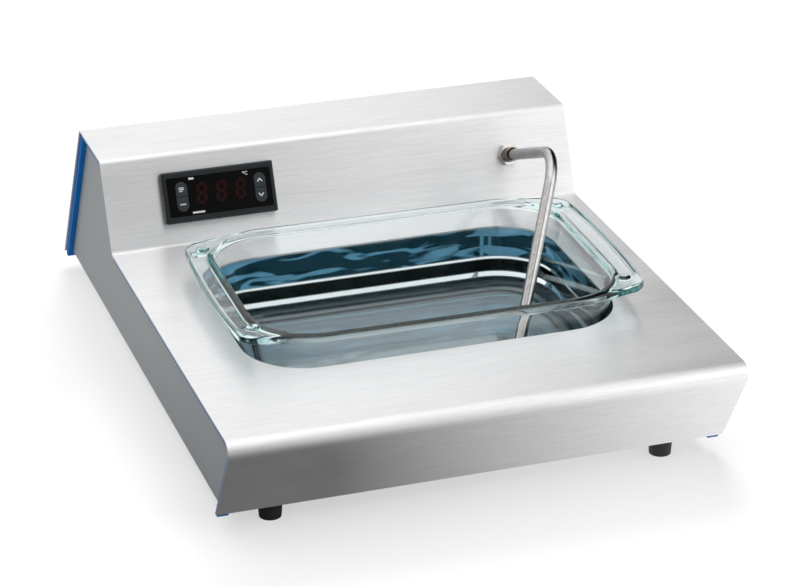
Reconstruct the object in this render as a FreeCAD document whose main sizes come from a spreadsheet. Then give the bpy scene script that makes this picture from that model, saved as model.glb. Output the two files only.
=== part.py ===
import FreeCAD, Part, Sketcher
import math
import os

# Histology water bath: a folded stainless housing with a glass dish in a polished well,
# a bent temperature probe and a panel controller on a sloping console.
# Millimetres. X runs along the width, Y from front to back, Z up from the floor.
# The origin is the middle of the footprint, at the height of the feet's lower faces.

os.makedirs("parts", exist_ok=True)
doc = FreeCAD.newDocument("water_bath")
Vector = FreeCAD.Vector
Placement = FreeCAD.Placement
Rotation = FreeCAD.Rotation
X_AXIS = Vector(1, 0, 0)
Z_AXIS = Vector(0, 0, 1)

# Driving sizes: name, number, what it is

SIZES = [
    ("body_width", 317, "housing, over the folded sheet's edges"),
    ("deck_depth", 280.5, "deck, from front corner to console"),
    ("roof_depth", 58.1, "flat roof behind the console"),
    ("deck_height", 72.5, "deck above the floor"),
    ("roof_height", 127, "roof above the floor"),
    ("floor_gap", 12, "underside above the floor"),
    ("front_lean", 30.96, "front wall from upright, degrees"),
    ("console_lean", 24.55, "console from upright, degrees"),
    ("rear_lean", 31.03, "rear wall from upright, degrees"),
    ("sheet_gauge", 1.2, "housing sheet"),
    ("front_bend", 7, "outer radius, deck to front wall"),
    ("console_bend", 3, "outer radius, deck to console"),
    ("roof_bend", 4, "outer radius, both roof bends"),
    ("seat_gap", 0.1, "clearance between pieces that seat on each other"),
    ("cutout_width", 236, "deck cut-out, side to side"),
    ("cutout_depth", 164.5, "deck cut-out, front to back"),
    ("cutout_radius", 40, "deck cut-out corners"),
    ("cutout_setback", 83.5, "deck cut-out behind the front corner"),
    ("panel_inset", 4.8, "side panel's face in from the sheet's edge"),
    ("panel_gauge", 1.2, "side panel sheet"),
    ("panel_flange", 14, "side panel's bottom return"),
    ("panel_return_gap", 5.5, "the return's ends short of the base plate's"),
    ("trim_depth", 4, "edge trim, measured from the sheet inwards"),
    ("trim_reveal", 1.5, "edge trim in from the sheet's edge"),
    ("trim_width", 6.7, "edge trim, across the panel's edge"),
    ("trim_web", 0.8, "edge trim, between the sheet and the panel's edge"),
    ("trim_tail", 3, "edge trim's ends below the sheet"),
    ("plate_gauge", 1.2, "base plate"),
    ("foot_radius", 7.5, "rubber foot at its top"),
    ("foot_taper", 0.8, "how much less the radius is at the floor"),
    ("foot_inset", 30.7, "feet in from the side panels"),
    ("foot_front_setback", 11.7, "front feet behind the front wall's foot"),
    ("foot_rear_setback", 18, "rear feet before the rear wall's foot"),
    ("foot_bore", 2.2, "radius of the foot's screw hole"),
    ("foot_recess_radius", 4.4, "room for the screw's head"),
    ("foot_recess_depth", 6, "room for the screw's head"),
    ("m4_radius", 2, "foot screw's shank"),
    ("m4_head_radius", 3.8, "foot screw's head"),
    ("m4_head_height", 2.6, "foot screw's head"),
    ("m4_nut_flats", 7, "foot nut across flats"),
    ("m4_nut_height", 3.2, "foot nut"),
    ("m3_radius", 1.5, "base screw's shank"),
    ("m3_head_radius", 2.8, "base screw's head"),
    ("m3_head_height", 1.8, "base screw's head"),
    ("m3_length", 6, "base screw's shank"),
    ("base_screw_shift", 1, "outer base screws beyond the feet's rows"),
    ("hole_clearance", 0.25, "screw holes, added to the radius"),
    ("vent_length", 40, "base vent slot"),
    ("vent_width", 3, "base vent slot"),
    ("vent_pitch", 8, "base vent slots, one to the next"),
    ("vent_count", 6, "base vent slots in the row"),
    ("well_gauge", 1, "well sheet"),
    ("well_margin", 1, "well wall outside the cut-out's edge"),
    ("well_flange", 10, "well's rim under the deck"),
    ("well_floor", 29.2, "underside of the well above the floor"),
    ("well_radius", 6, "outer radius between well floor and wall"),
    ("mat_width", 170, "heater mat"),
    ("mat_depth", 110, "heater mat"),
    ("mat_thickness", 1.5, "heater mat"),
    ("mat_corner", 8, "heater mat's corners"),
    ("pad_margin", 10, "insulation pad beyond the heater mat"),
    ("cutout_switch_radius", 8, "thermal cut-out, its can"),
    ("cutout_switch_height", 9, "thermal cut-out, its can"),
    ("cutout_ear_length", 25.6, "thermal cut-out, over its ears"),
    ("cutout_ear_width", 8, "thermal cut-out's ears"),
    ("cutout_ear_gauge", 1.2, "thermal cut-out's ears"),
    ("cutout_tab_width", 10, "thermal cut-out, over its two tabs"),
    ("cutout_tab_gauge", 0.8, "thermal cut-out's tabs"),
    ("cutout_tab_length", 3, "thermal cut-out's tabs below the can"),
    ("dish_end_play", 8, "cut-out's width less the dish opening's length"),
    ("dish_side_play", 9.5, "cut-out's depth less the dish opening's breadth"),
    ("dish_height", 62, "dish, floor to rim"),
    ("dish_wall", 3.4, "dish wall"),
    ("dish_floor", 4.5, "dish floor"),
    ("dish_draft", 12, "dish walls from upright, degrees"),
    ("dish_corner", 38, "corner radius inside the rim"),
    ("dish_foot_radius", 9, "outer radius between dish floor and wall"),
    ("dish_rim", 5, "height of the rim and handles"),
    ("dish_lip", 4.5, "rim's width on the long sides"),
    ("dish_rim_round", 1.8, "rounding of the rim's upper outer edge"),
    ("dish_under_round", 1, "rounding of the rim's lower outer edge"),
    ("dish_mouth_round", 1.2, "rounding of the opening's edge"),
    ("handle_width", 17, "handle, from the dish's opening outwards"),
    ("handle_bow", 3.5, "how far the handle's edge bows out"),
    ("handle_narrowing", 10.5, "handle's corner in from the long sides"),
    ("handle_bevel", 5.5, "bevel at the handle's corners"),
    ("handle_corner", 5, "radius at the handle's corners"),
    ("handle_sweep", 60, "radius where the rim starts to narrow"),
    ("handle_run", 47, "length over which the rim narrows"),
    ("handle_dip", 1.4, "hollow in the handle's top face"),
    ("handle_bead", 2.8, "raised edge outside the hollow"),
    ("handle_ridge", 3, "raised edge between the opening and the hollow"),
    ("knob_radius", 4, "small knob beside each handle's end"),
    ("knob_height", 1.8, "small knob above the rim"),
    ("knob_inset", 14, "knob in from the handle's edge"),
    ("knob_offset", 12.5, "knob in from the handle's corner"),
    ("knob_round", 1.2, "rounding of the knob"),
    ("dish_shift", 3.5, "dish to the right of the cut-out's middle"),
    ("dish_forward", 0.8, "dish before the cut-out's middle"),
    ("dish_turn", -0.8, "dish as it was set down, degrees"),
    ("rest_gap", 0.3, "clearance under what stands loose"),
    ("controller_width", 74, "controller bezel"),
    ("controller_height", 33, "controller bezel"),
    ("controller_proud", 6, "controller bezel before the console"),
    ("controller_inset", 37, "controller bezel in from the sheet's edge"),
    ("bezel_corner", 1.2, "bezel's corners"),
    ("bezel_bevel", 1, "bevel round the bezel's face"),
    ("controller_rise", 30.8, "controller's middle, up the console"),
    ("bezel_side", 2.7, "bezel beside the window"),
    ("bezel_band", 4, "bezel above and below the window"),
    ("window_thickness", 1.6, "controller window"),
    ("window_sink", 0.5, "window below the bezel's front"),
    ("window_ledge", 1.2, "seat of the window in the bezel"),
    ("case_width", 71, "controller case"),
    ("case_height", 29, "controller case"),
    ("case_depth", 58, "controller case behind the console"),
    ("case_wall", 1.6, "controller case"),
    ("panel_clearance", 0.3, "cut-outs round what passes through them"),
    ("board_thickness", 1.6, "display board"),
    ("board_sink", 2.4, "board's front face behind the console's face"),
    ("key_width", 7.8, "key across"),
    ("key_length", 9.6, "key, from the split to its round end"),
    ("key_gap", 0.25, "clearance round a key"),
    ("key_proud", 0.6, "key before the window"),
    ("key_travel", 0.5, "how far a key goes in"),
    ("key_stem", 1.6, "radius of the key's stem"),
    ("key_offset", 26, "keys either side of the controller's middle"),
    ("key_shift", 1, "keys and digits to the right of that middle"),
    ("clip_length", 22, "controller clip, front to back"),
    ("clip_width", 4, "controller clip, across"),
    ("clip_height", 16, "controller clip"),
    ("terminal_depth", 8, "controller's terminal strip"),
    ("terminal_inset", 4, "controller's terminal strip in from the case's sides"),
    ("terminal_height", 12, "controller's terminal strip"),
    ("digit_block_width", 38, "block of the digits"),
    ("digit_block_height", 16, "block of the digits"),
    ("button_radius", 2, "key's switch on the board"),
    ("button_height", 0.7, "key's switch on the board"),
    ("probe_inset", 43.3, "probe in from the sheet's edge"),
    ("probe_rise", 31.2, "probe, up the console"),
    ("probe_radius", 3.75, "probe tube"),
    ("probe_bore", 3.05, "probe tube, inside"),
    ("probe_reach", 92, "probe's corner before the console"),
    ("probe_tail", 18, "probe behind the console"),
    ("probe_bend", 27, "probe's bend, at its centre line"),
    ("probe_turn", 79, "angle of the probe's bend, degrees"),
    ("probe_swing_angle", 23, "probe's leg swung to the left, degrees"),
    ("probe_droop_angle", 2.1, "probe below the console's square, degrees"),
    ("probe_tip_height", 8.33, "probe's end above the dish's underside"),
    ("probe_tip", 1.5, "closed end of the tube"),
    ("probe_play", 0.5, "bores of gland and ferrule, added to the tube's radius"),
    ("nut_flats", 13, "probe nut across flats"),
    ("nut_height", 4.5, "probe nut"),
    ("gland_radius", 4.9, "threaded gland"),
    ("gland_length", 16, "threaded gland behind the nut's face"),
    ("ferrule_radius", 4.9, "ferrule ring"),
    ("ferrule_length", 5, "ferrule ring"),
    ("sensor_radius", 2.4, "temperature sensor in the tip"),
    ("sensor_length", 20, "temperature sensor in the tip"),
    ("inlet_inset", 63.5, "mains inlet's middle in from the sheet's edge"),
    ("inlet_drop", 58, "mains inlet, down the rear wall"),
    ("inlet_width", 27, "mains inlet's body"),
    ("inlet_height", 20, "mains inlet's body"),
    ("inlet_flange_width", 48, "mains inlet's flange with its ears"),
    ("inlet_flange", 2.2, "mains inlet's flange thickness"),
    ("inlet_depth", 20, "mains inlet behind the wall"),
    ("inlet_wall", 1.6, "mains inlet's socket wall"),
    ("inlet_socket", 15, "depth of the socket"),
    ("inlet_screws", 40, "mains inlet's screws, one to the other"),
    ("rocker_offset", 43, "mains switch beside the inlet, middle to middle"),
    ("rocker_width", 13, "mains switch's body"),
    ("rocker_height", 19, "mains switch's body"),
    ("rocker_frame", 2, "mains switch's rim, each side"),
    ("rocker_frame_proud", 1.8, "mains switch's rim"),
    ("rocker_depth", 15, "mains switch behind the wall"),
    ("rocker_tilt_angle", 8, "rocker either side of level, degrees"),
    ("rocker_pivot", 4, "rocker's pin below its face"),
    ("rocker_pin", 0.9, "radius of the rocker's pin"),
    ("pin_clearance", 0.06, "pin hole, added to the radius"),
    ("relay_length", 58, "solid state relay"),
    ("relay_width", 45, "solid state relay"),
    ("relay_height", 23, "solid state relay"),
    ("block_length", 60, "terminal block"),
    ("block_width", 18, "terminal block"),
    ("block_height", 16, "terminal block"),
    ("stud_radius", 2.5, "earth stud"),
    ("stud_height", 14, "earth stud"),
]

sizes = doc.addObject("Spreadsheet::Sheet", "sizes")
for row, (name, number, note) in enumerate(SIZES, start=1):
    sizes.set("A%d" % row, name)
    sizes.set("B%d" % row, str(number))
    sizes.setAlias("B%d" % row, name)
    sizes.set("C%d" % row, note)
doc.recompute()

# Places that several pieces share, worked out from the sizes

PLACES = [
    ("nose", "sizes.front_bend / tan((90 - sizes.front_lean) / 2) - sizes.front_bend"),
    ("console_run", "(sizes.roof_height - sizes.deck_height) * tan(sizes.console_lean)"),
    ("rear_run", "(sizes.roof_height - sizes.floor_gap + sizes.trim_tail) * tan(sizes.rear_lean)"),
    ("tail", "sizes.deck_depth + console_run + sizes.roof_depth + rear_run"
             " - (sizes.sheet_gauge + sizes.seat_gap) / cos(sizes.rear_lean)"),
    ("front_y", "-(nose + tail) / 2"),
    ("console_y", "front_y + sizes.deck_depth"),
    ("roof_rear_y", "console_y + console_run + sizes.roof_depth"),
    ("front_foot_y", "front_y + (sizes.deck_height - sizes.floor_gap) * tan(sizes.front_lean)"),
    ("rear_foot_y", "roof_rear_y + (sizes.roof_height - sizes.floor_gap) * tan(sizes.rear_lean)"),
    ("sheet_seat", "sizes.sheet_gauge + sizes.seat_gap"),
    ("panel_x", "sizes.body_width / 2 - sizes.panel_inset"),
    ("panel_edge", "sheet_seat + sizes.trim_web + sizes.seat_gap"),
    ("trim_outer_x", "sizes.body_width / 2 - sizes.trim_reveal"),
    ("trim_inner_x", "trim_outer_x - sizes.trim_width"),
    ("plate_side_x", "trim_inner_x - sizes.seat_gap"),
    ("plate_top", "sizes.floor_gap + sizes.plate_gauge"),
    ("panel_foot", "plate_top + sizes.seat_gap"),
    ("plate_front_y", "front_foot_y + sheet_seat / cos(sizes.front_lean)"),
    ("plate_rear_y", "rear_foot_y - sizes.plate_gauge * tan(sizes.rear_lean)"
                     " - sheet_seat / cos(sizes.rear_lean)"),
    ("foot_front_y", "front_foot_y + sizes.foot_front_setback"),
    ("foot_rear_y", "rear_foot_y - sizes.foot_rear_setback"),
    ("flange_x", "panel_x - sizes.panel_flange / 2 - sizes.panel_gauge / 2"),
    ("foot_x", "panel_x - sizes.foot_inset"),
    ("cutout_y", "front_y + sizes.cutout_setback + sizes.cutout_depth / 2"),
    ("well_top", "sizes.deck_height - sheet_seat"),
    ("well_width", "sizes.cutout_width + 2 * sizes.well_margin + 2 * sizes.well_gauge"),
    ("well_depth", "sizes.cutout_depth + 2 * sizes.well_margin + 2 * sizes.well_gauge"),
    ("well_corner", "sizes.cutout_radius + sizes.well_margin + sizes.well_gauge"),
    ("mat_top", "sizes.well_floor - sizes.seat_gap"),
    ("pad_top", "mat_top - sizes.mat_thickness - sizes.seat_gap"),
    ("dish_base", "sizes.well_floor + sizes.well_gauge + sizes.rest_gap"),
    ("dish_length", "sizes.cutout_width - sizes.dish_end_play"),
    ("dish_breadth", "sizes.cutout_depth - sizes.dish_side_play"),
    ("rim_side", "dish_breadth / 2 + sizes.dish_lip"),
    ("handle_reach", "dish_length / 2 + sizes.handle_width"),
    ("handle_corner_reach", "handle_reach - sizes.handle_bow"),
    ("handle_half_width", "rim_side - sizes.handle_narrowing"),
    ("handle_shoulder", "handle_reach - sizes.handle_run"),
    ("knob_reach", "handle_reach - sizes.knob_inset"),
    ("knob_side", "handle_half_width - sizes.knob_offset"),
    ("controller_x", "sizes.controller_inset + sizes.controller_width / 2 - sizes.body_width / 2"),
    ("window_width", "sizes.controller_width - 2 * sizes.bezel_side"),
    ("window_height", "sizes.controller_height - 2 * sizes.bezel_band"),
    ("probe_x", "sizes.body_width / 2 - sizes.probe_inset"),
    ("probe_lean", "sizes.console_lean - sizes.probe_droop_angle"),
    ("probe_corner_height", "sizes.deck_height + sizes.probe_rise * cos(sizes.console_lean)"
                            " + sizes.probe_reach * sin(probe_lean)"),
    ("probe_sink", "cos(probe_lean) * cos(sizes.probe_swing_angle) * sin(sizes.probe_turn)"
                   " - sin(probe_lean) * cos(sizes.probe_turn)"),
    ("probe_leg", "(probe_corner_height - dish_base - sizes.probe_tip_height) / probe_sink"),
    ("inlet_x", "sizes.body_width / 2 - sizes.inlet_inset"),
    ("rocker_x", "inlet_x - sizes.rocker_offset"),
    ("window_face", "sizes.controller_proud - sizes.window_sink"),
    ("key_face", "window_face + sizes.key_proud"),
]

places = doc.addObject("Spreadsheet::Sheet", "places")
for row, (name, formula) in enumerate(PLACES, start=1):
    places.set("A%d" % row, name)
    places.set("B%d" % row, "=" + formula)
    places.setAlias("B%d" % row, name)
doc.recompute()

reckoner = doc.addObject("Spreadsheet::Sheet", "reckoner")


def value(expression):
    # The number that an expression in the sheets' names stands for
    reckoner.set("A1", "=" + expression)
    reckoner.recompute()
    return float(reckoner.get("A1"))


def bind(target, **expressions):
    # Binds an object's properties to expressions; two underscores stand for a dot
    for name, expression in expressions.items():
        target.setExpression(name.replace("__", "."), expression)
    return target


# Sketches

def new_body(label):
    body = doc.addObject("PartDesign::Body", label)
    body.Label = label
    return body


def new_sketch(body, name, plane="XY_Plane", lift=None, offset=None):
    sketch = body.newObject("Sketcher::SketchObject", name)
    for feature in body.Origin.OriginFeatures:
        if feature.Role == plane:
            sketch.AttachmentSupport = (feature, "")
    sketch.MapMode = "FlatFace"
    if offset is not None:
        sketch.AttachmentOffset = offset
    if lift is not None:
        sketch.setExpression("AttachmentOffset.Base.z", lift)
    return sketch


def hold_point(sketch, geometry, end, across, up):
    # Fixes one end of a line or arc, or a circle's centre, at bound coordinates
    for kind, expression in (("DistanceX", across), ("DistanceY", up)):
        number = value(expression)
        index = sketch.addConstraint(Sketcher.Constraint(kind, -1, 1, geometry, end, number))
        sketch.setExpression("Constraints[%d]" % index, expression)


def hold_size(sketch, kind, geometry, expression):
    index = sketch.addConstraint(Sketcher.Constraint(kind, geometry, value(expression)))
    sketch.setExpression("Constraints[%d]" % index, expression)


def add_outline(sketch, corners):
    # A closed outline through bound corners. A corner may carry a third entry, the way to the
    # next one: a point that an arc passes and the arc's radius, for outlines run counterclockwise.
    points = [Vector(value(corner[0]), value(corner[1]), 0) for corner in corners]
    count = len(points)
    first = sketch.GeometryCount
    for index, corner in enumerate(corners):
        start, end = points[index], points[(index + 1) % count]
        if len(corner) > 2:
            through = Vector(value(corner[2][0]), value(corner[2][1]), 0)
            sketch.addGeometry(Part.Arc(start, through, end))
        else:
            sketch.addGeometry(Part.LineSegment(start, end))
    for index in range(count):
        after = first + (index + 1) % count
        sketch.addConstraint(Sketcher.Constraint("Coincident", first + index, 2, after, 1))
    for index, corner in enumerate(corners):
        hold_point(sketch, first + index, 1, corner[0], corner[1])
        if len(corner) > 2:
            hold_size(sketch, "Radius", first + index, corner[2][2])


def add_rectangle(sketch, left, right, low, high):
    add_outline(sketch, [(left, low), (right, low), (right, high), (left, high)])


def add_circle(sketch, across, up, radius):
    centre = Vector(value(across), value(up), 0)
    circle = sketch.addGeometry(Part.Circle(centre, Z_AXIS, value(radius)))
    hold_point(sketch, circle, 3, across, up)
    hold_size(sketch, "Radius", circle, radius)


def add_rounded_rectangle(sketch, width, depth, radius, across="0", up="0"):
    # Four sides and four tangent arcs about a bound middle
    left, right = value("%s - (%s) / 2" % (across, width)), value("%s + (%s) / 2" % (across, width))
    low, high = value("%s - (%s) / 2" % (up, depth)), value("%s + (%s) / 2" % (up, depth))
    r = value(radius)
    sides = [
        (Vector(left + r, low, 0), Vector(right - r, low, 0)),
        (Vector(right, low + r, 0), Vector(right, high - r, 0)),
        (Vector(right - r, high, 0), Vector(left + r, high, 0)),
        (Vector(left, high - r, 0), Vector(left, low + r, 0)),
    ]
    centres = [Vector(right - r, low + r, 0), Vector(right - r, high - r, 0),
               Vector(left + r, high - r, 0), Vector(left + r, low + r, 0)]
    first = sketch.GeometryCount
    for start, end in sides:
        sketch.addGeometry(Part.LineSegment(start, end))
    for quarter, centre in enumerate(centres):
        start = -math.pi / 2 + quarter * math.pi / 2
        circle = Part.Circle(centre, Z_AXIS, r)
        sketch.addGeometry(Part.ArcOfCircle(circle, start, start + math.pi / 2))
    for side in range(4):
        arc = first + 4 + side
        after = first + (side + 1) % 4
        sketch.addConstraint(Sketcher.Constraint("Tangent", first + side, 2, arc, 1))
        sketch.addConstraint(Sketcher.Constraint("Tangent", arc, 2, after, 1))
        if side:
            sketch.addConstraint(Sketcher.Constraint("Equal", first + 4, arc))
    for side, kind in ((0, "Horizontal"), (1, "Vertical"), (2, "Horizontal"), (3, "Vertical")):
        sketch.addConstraint(Sketcher.Constraint(kind, first + side))
    hold_size(sketch, "Radius", first + 4, radius)
    for side, kind, expression in (
        (3, "DistanceX", "%s - (%s) / 2" % (across, width)),
        (1, "DistanceX", "%s + (%s) / 2" % (across, width)),
        (0, "DistanceY", "%s - (%s) / 2" % (up, depth)),
        (2, "DistanceY", "%s + (%s) / 2" % (up, depth)),
    ):
        number = value(expression)
        index = sketch.addConstraint(Sketcher.Constraint(kind, -1, 1, first + side, 1, number))
        sketch.setExpression("Constraints[%d]" % index, expression)


# Features

def pad(body, sketch, length, midplane=False, reverse=False):
    feature = body.newObject("PartDesign::Pad", sketch.Name + "_pad")
    feature.Profile = sketch
    feature.Midplane = midplane
    feature.Reversed = reverse
    feature.setExpression("Length", length)
    doc.recompute()
    return feature


def pocket(body, sketch, length, midplane=False, reverse=False):
    before = body.Shape.Volume
    feature = body.newObject("PartDesign::Pocket", sketch.Name + "_pocket")
    feature.Profile = sketch
    feature.Midplane = midplane
    feature.Reversed = reverse
    feature.setExpression("Length", length)
    doc.recompute()
    if feature.Shape.Volume > before - 0.01:
        raise ValueError(feature.Name + " cuts nothing")
    return feature


def revolve(body, sketch):
    feature = body.newObject("PartDesign::Revolution", sketch.Name + "_turned")
    feature.Profile = sketch
    feature.ReferenceAxis = (sketch, ["V_Axis"])
    feature.Angle = 360
    doc.recompute()
    return feature


def edge_names(shape, wanted):
    return ["Edge%d" % (index + 1) for index, edge in enumerate(shape.Edges) if wanted(edge)]


def face_names(shape, wanted):
    return ["Face%d" % (index + 1) for index, face in enumerate(shape.Faces) if wanted(face)]


def middle(edge):
    return edge.valueAt((edge.FirstParameter + edge.LastParameter) / 2)


def dress(body, kind, name, size, wanted):
    # Rounds or bevels the wanted edges of the body's last feature
    base = body.Tip
    feature = body.newObject("PartDesign::" + kind, name)
    feature.Base = (base, edge_names(base.Shape, wanted))
    feature.setExpression("Radius" if kind == "Fillet" else "Size", size)
    doc.recompute()
    return feature


def hollow(body, name, gauge, open_face):
    # Leaves walls of one thickness, with the open faces taken away
    base = body.Tip
    feature = body.newObject("PartDesign::Thickness", name)
    feature.Base = (base, face_names(base.Shape, open_face))
    feature.Reversed = True
    feature.Join = 1
    feature.setExpression("Value", gauge)
    doc.recompute()
    return feature


def at_height(z, tolerance=0.01):
    return lambda item: abs(item.BoundBox.ZMin - z) < tolerance and item.BoundBox.ZLength < tolerance


# Frames on the sloping walls: local X across, local Y up the slope, local Z outwards

def console_frame(across="0", rise="0", out="0"):
    lean = math.radians(value("sizes.console_lean"))
    up = Vector(0, math.sin(lean), math.cos(lean))
    outward = Vector(0, -math.cos(lean), math.sin(lean))
    foot = Vector(0, value("places.console_y"), value("sizes.deck_height"))
    base = foot + X_AXIS * value(across) + up * value(rise) + outward * value(out)
    return Placement(base, Rotation(X_AXIS, up, outward, "ZXY"))


def rear_frame(across="0", drop="0", out="0"):
    lean = math.radians(value("sizes.rear_lean"))
    up = Vector(0, -math.sin(lean), math.cos(lean))
    outward = Vector(0, math.cos(lean), math.sin(lean))
    head = Vector(0, value("places.roof_rear_y"), value("sizes.roof_height"))
    base = head + X_AXIS * value(across) - up * value(drop) + outward * value(out)
    return Placement(base, Rotation(-X_AXIS, up, outward, "ZXY"))


# Primitives

def box(name, length, width, height, across="0", depth="0", rise="0"):
    # A box whose lower face is centred on the given place
    item = doc.addObject("Part::Box", name)
    bind(item, Length=length, Width=width, Height=height)
    bind(item, Placement__Base__x="%s - (%s) / 2" % (across, length))
    bind(item, Placement__Base__y="%s - (%s) / 2" % (depth, width))
    bind(item, Placement__Base__z=rise)
    return item


def cylinder(name, radius, height, across="0", depth="0", rise="0"):
    item = doc.addObject("Part::Cylinder", name)
    bind(item, Radius=radius, Height=height)
    bind(item, Placement__Base__x=across, Placement__Base__y=depth, Placement__Base__z=rise)
    return item


def cut(name, base, tool):
    item = doc.addObject("Part::Cut", name)
    item.Base, item.Tool = base, tool
    doc.recompute()
    return item


def fuse(name, *items):
    item = doc.addObject("Part::MultiFuse", name)
    item.Shapes = list(items)
    doc.recompute()
    return item


def group(label, master, spots):
    # Like pieces at several places, as one group of separate solids
    copies = []
    for index, spot in enumerate(spots):
        copy = doc.addObject("Part::Feature", "%s_%d" % (label, index + 1))
        copy.Shape = master.Shape.copy()
        copy.Placement = spot
        copies.append(copy)
    item = doc.addObject("Part::Compound", label)
    item.Links = copies
    return finish(item, label)


nodes = {}


def finish(item, label=None, placement=None):
    # Registers a sub-part under its own name, at its place
    label = label or item.Label
    item.Label = label
    if placement is not None:
        for path, expression in list(item.ExpressionEngine):
            if "Placement" in path:
                item.setExpression(path, None)
        item.Placement = placement
    nodes[label] = item
    return item


# The side outline of the housing, offset inwards, and its bends

def side_outline(inset, foot):
    deck = "(sizes.deck_height - %s)" % inset
    roof = "(sizes.roof_height - %s)" % inset

    def front(z):
        return ("places.front_y + (sizes.deck_height - %s) * tan(sizes.front_lean)"
                " + %s / cos(sizes.front_lean)" % (z, inset))

    def console(z):
        return ("places.console_y + (%s - sizes.deck_height) * tan(sizes.console_lean)"
                " + %s / cos(sizes.console_lean)" % (z, inset))

    def rear(z):
        return ("places.roof_rear_y + (sizes.roof_height - %s) * tan(sizes.rear_lean)"
                " - %s / cos(sizes.rear_lean)" % (z, inset))

    return [(front(foot), foot), (front(deck), deck), (console(deck), deck),
            (console(roof), roof), (rear(roof), roof), (rear(foot), foot)]


def round_bends(body, inset, corners, folds=(1, 2, 3, 4)):
    # Rounds the folds of a side outline; the fold at the console's foot turns the other way
    radii = {
        1: "sizes.front_bend - %s" % inset,
        2: "sizes.console_bend + %s" % inset,
        3: "sizes.roof_bend - %s" % inset,
        4: "sizes.roof_bend - %s" % inset,
    }
    for index in folds:
        y, z = (value(part) for part in corners[index])

        def on_fold(edge):
            bounds = edge.BoundBox
            return (bounds.YLength < 0.01 and bounds.ZLength < 0.01
                    and abs(bounds.YMin - y) < 0.01 and abs(bounds.ZMin - z) < 0.01)

        dress(body, "Fillet", "%s_fold_%d" % (body.Name, index), radii[index], on_fold)


# Housing shell: one folded sheet

def make_housing_shell():
    body = new_body("housing_shell")
    outline = new_sketch(body, "shell_outline", "YZ_Plane")
    corners = side_outline("0", "sizes.floor_gap")
    add_outline(outline, corners)
    pad(body, outline, "sizes.body_width", midplane=True)
    round_bends(body, "0", corners)
    edge_x = value("sizes.body_width") / 2
    foot_z = value("sizes.floor_gap")

    def left_open(face):
        bounds = face.BoundBox
        at_side = bounds.XLength < 0.01 and abs(abs(bounds.XMin) - edge_x) < 0.01
        at_foot = bounds.ZLength < 0.01 and abs(bounds.ZMin - foot_z) < 0.01
        return at_side or at_foot

    hollow(body, "shell_sheet", "sizes.sheet_gauge", left_open)
    deck = new_sketch(body, "dish_cutout", lift="sizes.deck_height")
    add_rounded_rectangle(deck, "sizes.cutout_width", "sizes.cutout_depth",
                          "sizes.cutout_radius", up="places.cutout_y")
    pocket(body, deck, "2 * sizes.sheet_gauge")
    console = new_sketch(body, "console_holes", offset=console_frame())
    half_width = "(sizes.case_width / 2 + sizes.panel_clearance)"
    half_height = "(sizes.case_height / 2 + sizes.panel_clearance)"
    add_rectangle(console, "places.controller_x - " + half_width, "places.controller_x + " + half_width,
                  "sizes.controller_rise - " + half_height, "sizes.controller_rise + " + half_height)
    add_circle(console, "places.probe_x", "sizes.probe_rise", "sizes.gland_radius + sizes.seat_gap")
    pocket(body, console, "2 * sizes.sheet_gauge")
    rear = new_sketch(body, "rear_holes", offset=rear_frame())
    for x, width, height in (("places.inlet_x", "sizes.inlet_width", "sizes.inlet_height"),
                             ("places.rocker_x", "sizes.rocker_width", "sizes.rocker_height")):
        half_width = "(%s / 2 + sizes.panel_clearance)" % width
        half_height = "(%s / 2 + sizes.panel_clearance)" % height
        add_rectangle(rear, "-%s - %s" % (x, half_width), "-%s + %s" % (x, half_width),
                      "-sizes.inlet_drop - " + half_height, "-sizes.inlet_drop + " + half_height)
    for side in ("-", "+"):
        add_circle(rear, "-places.inlet_x %s sizes.inlet_screws / 2" % side, "-sizes.inlet_drop",
                   "sizes.m3_radius + sizes.hole_clearance")
    pocket(body, rear, "2 * sizes.sheet_gauge")
    finish(body)


# Side panels and the trims in the corner between panel and sheet

def base_screw_spots(sign):
    rows = ["places.foot_front_y - sizes.base_screw_shift", "places.cutout_y",
            "places.foot_rear_y + sizes.base_screw_shift"]
    return [("%s * places.flange_x" % sign, y) for y in rows]


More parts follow.
